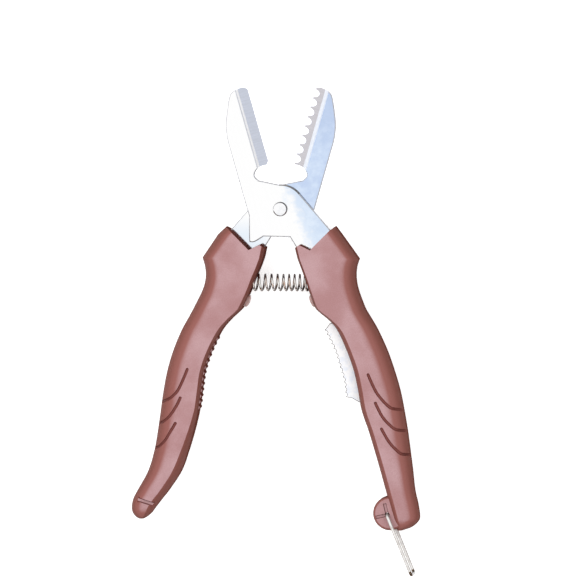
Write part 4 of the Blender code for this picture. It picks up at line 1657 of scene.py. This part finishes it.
@dataclass(frozen=True)
class StraightGroove:
    """Straight groove along +X in one face, with a line of painted shade down each side of its
    floor.
    """

    length: float
    width: float
    floor: float
    top: float
    line_radius: float = 0.00036
    line_rise_share: float = 0.3
    line_facets: int = 12
    line_dome_steps: int = 2

    def cuts(self, face: Face, place: Matrix, material: Material) -> list[Object]:
        """Solids that cut it.

        Args:
            face: Face of the tool that it is in.
            place: Frame of its near end.
            material: Finish of the painted shade lines.

        Returns:
            The solids.
        """
        low, high = sorted((face.value * self.floor, face.value * self.top))
        half = self.width / 2
        bar = [(0, -half), (self.length, -half), (self.length, half), (0, half)]
        shapes = [Shape().prism(bar, low, high).moved(place).to_object("groove_floor")]
        for y in (-half, half):
            height = face.value * (self.floor + self.line_radius * self.line_rise_share)
            ends = [Vector((x, y, height)) for x in (-self.line_radius, self.length)]
            line = Shape().tube(ends, self.line_radius, self.line_facets, self.line_dome_steps)
            shapes.append(line.moved(place).to_object("groove_shade_line", material))
        return shapes


@dataclass
class LatchDisc:
    """Disc at the right grip's end, with the grooves that the bail rests in."""

    finishes: Finishes
    radius: float = 0.0072
    shift: float = 0.0011
    rise: float = 0.0006
    half_thick: float = 0.0046
    bore: float = 0.0010
    groove_width: float = 0.0014
    groove_depth: float = 0.0006
    groove_length: float = 0.0050
    line: float = 0.00022
    park: float = radians(104)
    shut: float = radians(193)
    facets: int = 96
    bore_facets: int = 32

    RIM_SHARES = ((0, 1), (0.86, 1), (0.93, 0.94), (1, 0.70))

    def disc(self) -> Object:
        """Disc with a steep chamfer and a small one at each rim.

        Returns:
            The disc.
        """
        front = scaled(self.RIM_SHARES, self.radius, self.half_thick)
        profile = front + [(x, -z) for x, z in reversed(front)]
        place = LATCH_PLACE @ Matrix.Translation((self.shift, self.rise, 0))
        return Shape().lathe(profile, self.facets).moved(place).to_object("latch_disc")

    def cuts(self) -> list[Object]:
        """Bore and grooves.

        Returns:
            The solids that cut them.
        """
        reach = self.half_thick + OVERRUN
        groove = StraightGroove(
            self.groove_length, self.groove_width, self.half_thick - self.groove_depth,
            reach, self.line,
        )
        bore = Shape().rod(self.bore, -reach, reach, self.bore_facets).moved(LATCH_PLACE)
        # The bore's wall takes the dark finish that paints the shade in the hole.
        solids = [bore.to_object("latch_bore", self.finishes.groove)]
        for angle in (self.park, self.shut):
            place = LATCH_PLACE @ Matrix.Rotation(angle, 4, "Z")
            for face in Face:
                solids += groove.cuts(face, place, self.finishes.groove)
        return solids


@dataclass
class GripMoulding:
    """One moulded grip with everything that is cut into it."""

    finishes: Finishes
    form: GripForm
    plate: JawPlate
    spring: ReturnSpring
    bumper: Bumper
    groove_radius: float = 0.00065
    groove_steps: int = 3
    groove_facets: int = 12
    groove_dome_steps: int = 3
    height_steps: int = 2
    groove_least_share: float = 0.3
    rib_count: int = 13
    rib_radius: float = 0.0008
    rib_half_length: float = 0.0050
    rib_facets: int = 20
    rib_top: float = 0.0545
    rib_bottom: float = 0.0835
    rib_sunk_share: float = 0.4
    catch_place: Flat = (-0.0552, -0.1238)
    catch_angle: float = radians(-17)
    catch_length: float = 0.0150
    catch_width: float = 0.0017
    catch_floor: float = 0.0046

    MOUTH_SHARES = (
        (0.410, -0.080), (0.335, -0.140), (0.205, -0.271), (0.133, -0.236), (0.104, -0.256),
        (0.020, -0.256), (0.020, -0.060), (0.410, -0.060),
    )
    GROOVE_SHARES = {
        Side.LEFT: (
            ((0.615, 0.515), (0.645, 0.550), (0.683, 0.586), (0.735, 0.609), (0.794, 0.622)),
            ((0.662, 0.607), (0.692, 0.636), (0.739, 0.668), (0.786, 0.686), (0.824, 0.694)),
            ((0.695, 0.689), (0.729, 0.716), (0.767, 0.745), (0.814, 0.766), (0.854, 0.774)),
        ),
        Side.RIGHT: (
            ((0.595, 0.529), (0.647, 0.583), (0.712, 0.622), (0.759, 0.638), (0.844, 0.644)),
            ((0.644, 0.620), (0.688, 0.662), (0.747, 0.694), (0.794, 0.707), (0.874, 0.711)),
            ((0.685, 0.703), (0.735, 0.745), (0.794, 0.776), (0.829, 0.785), (0.899, 0.788)),
        ),
    }

    @property
    def side(self) -> Side:
        """Side of the tool."""
        return self.form.side

    @property
    def name(self) -> str:
        """Name of the frame's node."""
        return f"{self.side.name.lower()}_grip"

    def mouth(self) -> Object:
        """V-shaped mouth around the tang.

        Returns:
            The cutter.
        """
        loop = scaled(self.MOUTH_SHARES, self.form.spread)
        reach = self.form.half_thick + OVERRUN
        if self.side is Side.LEFT:
            loop = mirrored(loop)
        return Shape().prism(loop, -reach, reach).to_object("mouth")

    def swept_grooves(self) -> Object:
        """Swept grooves of both faces, round at their inner ends.

        Returns:
            The cutter.
        """
        grooves = Shape()
        least = self.form.half_thick * self.groove_least_share
        for shares in self.GROOVE_SHARES[self.side]:
            line = scaled(shares, self.form.spread, GripForm.ENDS[Side.LEFT])
            line = smooth(line, self.height_steps)
            line = [(out, down, max(self.form.height(out, down), least)) for out, down in line]
            for face in Face:
                place = (self.side.value, -1, face.value)
                points = smooth(line, self.groove_steps)
                path = [Vector(way * size for way, size in zip(place, point)) for point in points]
                grooves.tube(path, self.groove_radius, self.groove_facets, self.groove_dome_steps)
        # The grooves' walls take the dark finish that paints their shade.
        return grooves.to_object("swept_grooves", self.finishes.groove)

    def ribs(self) -> Object:
        """Row of half-round finger ribs on the inner side.

        Returns:
            The ribs as one object.
        """
        ribs = []
        for number in range(self.rib_count):
            down = between(self.rib_top, self.rib_bottom, number / (self.rib_count - 1))
            out = self.form.row_at(down).inner + self.rib_radius * self.rib_sunk_share
            half = self.rib_half_length
            rib = Shape().rod(self.rib_radius, -half, half, self.rib_facets)
            ribs.append(rib.moved(Matrix.Translation((self.side.value * out, -down, 0))))
        return Shape().join(*ribs).to_object("finger_ribs")

    def catch_grooves(self) -> list[Object]:
        """Groove of each face that the bail drops into.

        Returns:
            The solids that cut it.
        """
        place = (
            Matrix.Translation((*self.catch_place, 0)) @ Matrix.Rotation(self.catch_angle, 4, "Z")
        )
        place = place @ Matrix.Translation((-self.catch_length / 2, 0, 0))
        top = self.form.half_thick + OVERRUN
        groove = StraightGroove(self.catch_length, self.catch_width, self.catch_floor, top)
        return [cut for face in Face for cut in groove.cuts(face, place, self.finishes.groove)]

    def build(self, joins: list[Object], cuts: list[Object]) -> Object:
        """Make the grip.

        Args:
            joins: Further solids that are joined to it.
            cuts: Further solids that are cut from it.

        Returns:
            The grip.
        """
        obj = self.form.skin().to_object(self.name + "_moulding", self.finishes.plastic)
        pockets = [self.spring.pocket(self.side), self.bumper.pocket()]
        solids = [
            self.mouth(), self.plate.slot_cutter(), self.swept_grooves(),
            *(pocket.to_object("pocket") for pocket in pockets), *cuts,
        ]
        carve(obj, solids, joins)
        return dress(obj, self.name, "grip_plastic", LEVER[self.side])


@dataclass
class PivotSet:
    """Headed pin, washer and nut on the pivot."""

    finishes: Finishes
    pin_radius: float = 0.0022
    head_radius: float = 0.0030
    head_thick: float = 0.0011
    chamfer: float = 0.0004
    hole_radius: float = 0.00235
    washer_radius: float = 0.0048
    washer_thick: float = 0.0008
    nut_radius: float = 0.0042
    nut_thick: float = 0.0024
    tail: float = 0.0004
    rim: float = 0.00012
    nut_rim: float = 0.00024
    rim_rounds: int = 2
    nut_sides: int = 6
    facets: int = 64

    def build(self) -> list[Object]:
        """Make the three pieces, front to back.

        Returns:
            The bolt, the washer and the nut.
        """
        face = PLATE_GAP / 2 + PLATE_THICK + SEAT_GAP
        nut_top = -face - self.washer_thick - SEAT_GAP
        nut_floor = nut_top - self.nut_thick
        top = face + self.head_thick
        profile = [
            (0, nut_floor - self.tail), (self.pin_radius - self.rim, nut_floor - self.tail),
            (self.pin_radius, nut_floor - self.tail + self.rim), (self.pin_radius, face),
            (self.head_radius, face), (self.head_radius, top - self.chamfer),
            (self.head_radius - self.chamfer, top), (0, top),
        ]
        pin = Shape().lathe(profile, self.facets).to_object("pivot_pin")
        washer = Shape().rod(self.washer_radius, -face - self.washer_thick, -face, self.facets)
        washer = washer.soften(self.rim, self.rim_rounds, sharp_rim).to_object("pivot_disc")
        nut = Shape().rod(self.nut_radius, nut_floor, nut_top, self.nut_sides)
        nut = nut.soften(self.nut_rim, self.rim_rounds, sharp_rim).to_object("pivot_hexagon")
        for obj in (washer, nut):
            bore = Shape().rod(self.hole_radius, nut_floor - OVERRUN, OVERRUN, self.facets)
            carve(obj, [bore.to_object("bore")])
        names = ("pivot_bolt", "pivot_washer", "pivot_nut")
        return [
            dress(obj, node, "fastener_steel", Body.RIGHT_LEVER, self.finishes.fastener)
            for obj, node in zip((pin, washer, nut), names)
        ]


@dataclass(frozen=True)
class Lamp:
    """Square area light that faces the tool's middle."""

    name: str
    place: Place
    width: float
    power: float

    def build(self) -> None:
        """Hang the lamp."""
        data = bpy.data.lights.new(self.name, "AREA")
        data.shape = "SQUARE"
        data.size = self.width
        data.energy = self.power
        lamp = bpy.data.objects.new(self.name, data)
        lamp.location = self.place
        lamp.rotation_euler = Vector(self.place).to_track_quat("Z", "Y").to_euler()
        lamp.visible_camera = False
        lamp.visible_glossy = False
        bpy.context.scene.collection.objects.link(lamp)


@dataclass(frozen=True)
class Studio:
    """Pale floor, soft lamps and the camera."""

    aim: Place = (0.0030, -0.0333, 0.0)
    distance: float = 5.0
    from_right: float = radians(5.5)
    from_above: float = radians(3.0)
    view_width: float = 0.2419
    sensor: float = 36.0
    clip: float = 20.0
    floor_half: float = 8.0
    floor_gap: float = 0.0002
    floor_glow: float = 0.55
    floor_tone: Colour = (0.6, 0.6, 0.6)
    floor_seen: Colour = (1.0, 1.0, 1.0)
    fill: float = 0.58
    band_radii: Span = (0.55, 0.70)
    band_facets: int = 48
    band_height: float = 0.30
    band_middle: float = 0.16
    band_tone: Colour = (0.10, 0.10, 0.11)
    lamps: tuple[Lamp, ...] = (
        Lamp("key", (-0.65, 0.50, 1.15), 0.9, 10.5),
        Lamp("side", (0.75, -0.20, 1.25), 1.0, 6.5),
    )

    def build(self) -> None:
        """Set it all up."""
        bpy.context.scene.view_settings.view_transform = "Standard"
        self.light_world()
        self.lay_floor()
        self.hang_band()
        for lamp in self.lamps:
            lamp.build()
        self.place_camera()

    def seen(self, tree: NodeTree) -> NodeSocket:
        """Whether a ray comes from the camera or by way of a mirror or through a clear piece.

        Args:
            tree: Node tree that asks.

        Returns:
            1 for such a ray, 0 for any other.
        """
        path = tree.nodes.new("ShaderNodeLightPath")
        total = path.outputs["Is Camera Ray"]
        for name in ("Is Glossy Ray", "Is Transmission Ray"):
            node = tree.nodes.new("ShaderNodeMath")
            node.operation = "ADD"
            node.use_clamp = True
            tree.links.new(total, node.inputs[0])
            tree.links.new(path.outputs[name], node.inputs[1])
            total = node.outputs[0]
        return total

    def light_world(self) -> None:
        """White for the rays that see the background, dimmer for the light it gives."""
        world = bpy.data.worlds.new("surroundings")
        world.use_nodes = True
        bpy.context.scene.world = world
        tree = world.node_tree
        levels = tree.nodes.new("ShaderNodeMapRange")
        tree.links.new(self.seen(tree), levels.inputs["Value"])
        levels.inputs["To Min"].default_value = self.fill
        tree.links.new(levels.outputs["Result"], tree.nodes["Background"].inputs["Strength"])
        tree.nodes["Background"].inputs["Color"].default_value = (1, 1, 1, 1)

    def lay_floor(self) -> None:
        """Lay the near-white floor that takes the tool's shadow."""
        shape = Shape()
        place = Matrix.Translation((0, 0, -self.floor_gap))
        bmesh.ops.create_grid(
            shape.bm, x_segments=1, y_segments=1, size=self.floor_half, matrix=place
        )
        floor = shape.to_object("floor")
        board = Board("floor_paper")
        seen = self.seen(board.tree)
        bright = board.mix(seen, self.floor_tone, self.floor_seen)
        glow = board.math("MULTIPLY", seen, self.floor_glow)
        board.feed(Base_Color=bright, Emission_Strength=glow)
        board.set(Roughness=1.0, Specular_IOR_Level=0.0, Emission_Color=(1, 1, 1, 1))
        floor.data.materials.append(board.material)

    def hang_band(self) -> None:
        """Hang a dark band round the tool that only its mirrors see, for their dark edges."""
        shape = Shape()
        low, high = self.band_radii
        bmesh.ops.create_cone(
            shape.bm, cap_ends=False, segments=self.band_facets, radius1=low, radius2=high,
            depth=self.band_height, matrix=Matrix.Translation((0, 0, self.band_middle)),
        )
        band = shape.to_object("dark_band")
        board = Board("band_cloth").set(Base_Color=(*self.band_tone, 1), Roughness=1.0)
        band.data.materials.append(board.material)
        for ray in ("camera", "diffuse", "shadow", "transmission", "volume_scatter"):
            setattr(band, "visible_" + ray, False)

    def place_camera(self) -> None:
        """Put the long-lens camera over the tool."""
        data = bpy.data.cameras.new("camera")
        data.sensor_width = self.sensor
        data.lens = self.sensor * self.distance / self.view_width
        data.clip_end = self.clip
        camera = bpy.data.objects.new("camera", data)
        tilt = Vector(
            (sin(self.from_right), tan(self.from_above), cos(self.from_right))
        ).normalized()
        camera.location = PIVOT + Vector(self.aim) + tilt * self.distance
        turn = Matrix.Rotation(self.from_right, 3, "Y") @ Matrix.Rotation(-self.from_above, 3, "X")
        camera.rotation_euler = turn.to_euler()
        bpy.context.scene.collection.objects.link(camera)
        bpy.context.scene.camera = camera


def main() -> None:
    """Build the looks and hand them to the frame."""
    logging.basicConfig(level=logging.INFO, format="%(message)s")
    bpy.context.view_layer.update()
    finishes = Finishes.make()
    forms = {side: GripForm(side) for side in Side}
    plates = {side: JawPlate(finishes, side) for side in Side}
    spring = ReturnSpring(finishes, forms)
    bumpers = {side: Bumper(finishes, forms[side]) for side in Side}
    side_blade = SideBlade(finishes, forms[Side.RIGHT])
    grips = {
        side: GripMoulding(finishes, forms[side], plates[side], spring, bumpers[side])
        for side in Side
    }
    left, disc = grips[Side.LEFT], LatchDisc(finishes)
    left.build([left.ribs()], left.catch_grooves())
    grips[Side.RIGHT].build([disc.disc()], [side_blade.slot_cutter(), *disc.cuts()])
    for side in Side:
        plates[side].build()
        bumpers[side].build()
    side_blade.build()
    spring.build()
    PivotSet(finishes).build()
    LatchBail(finishes).build()
    Studio().build()


if __name__ == "__main__":
    main()
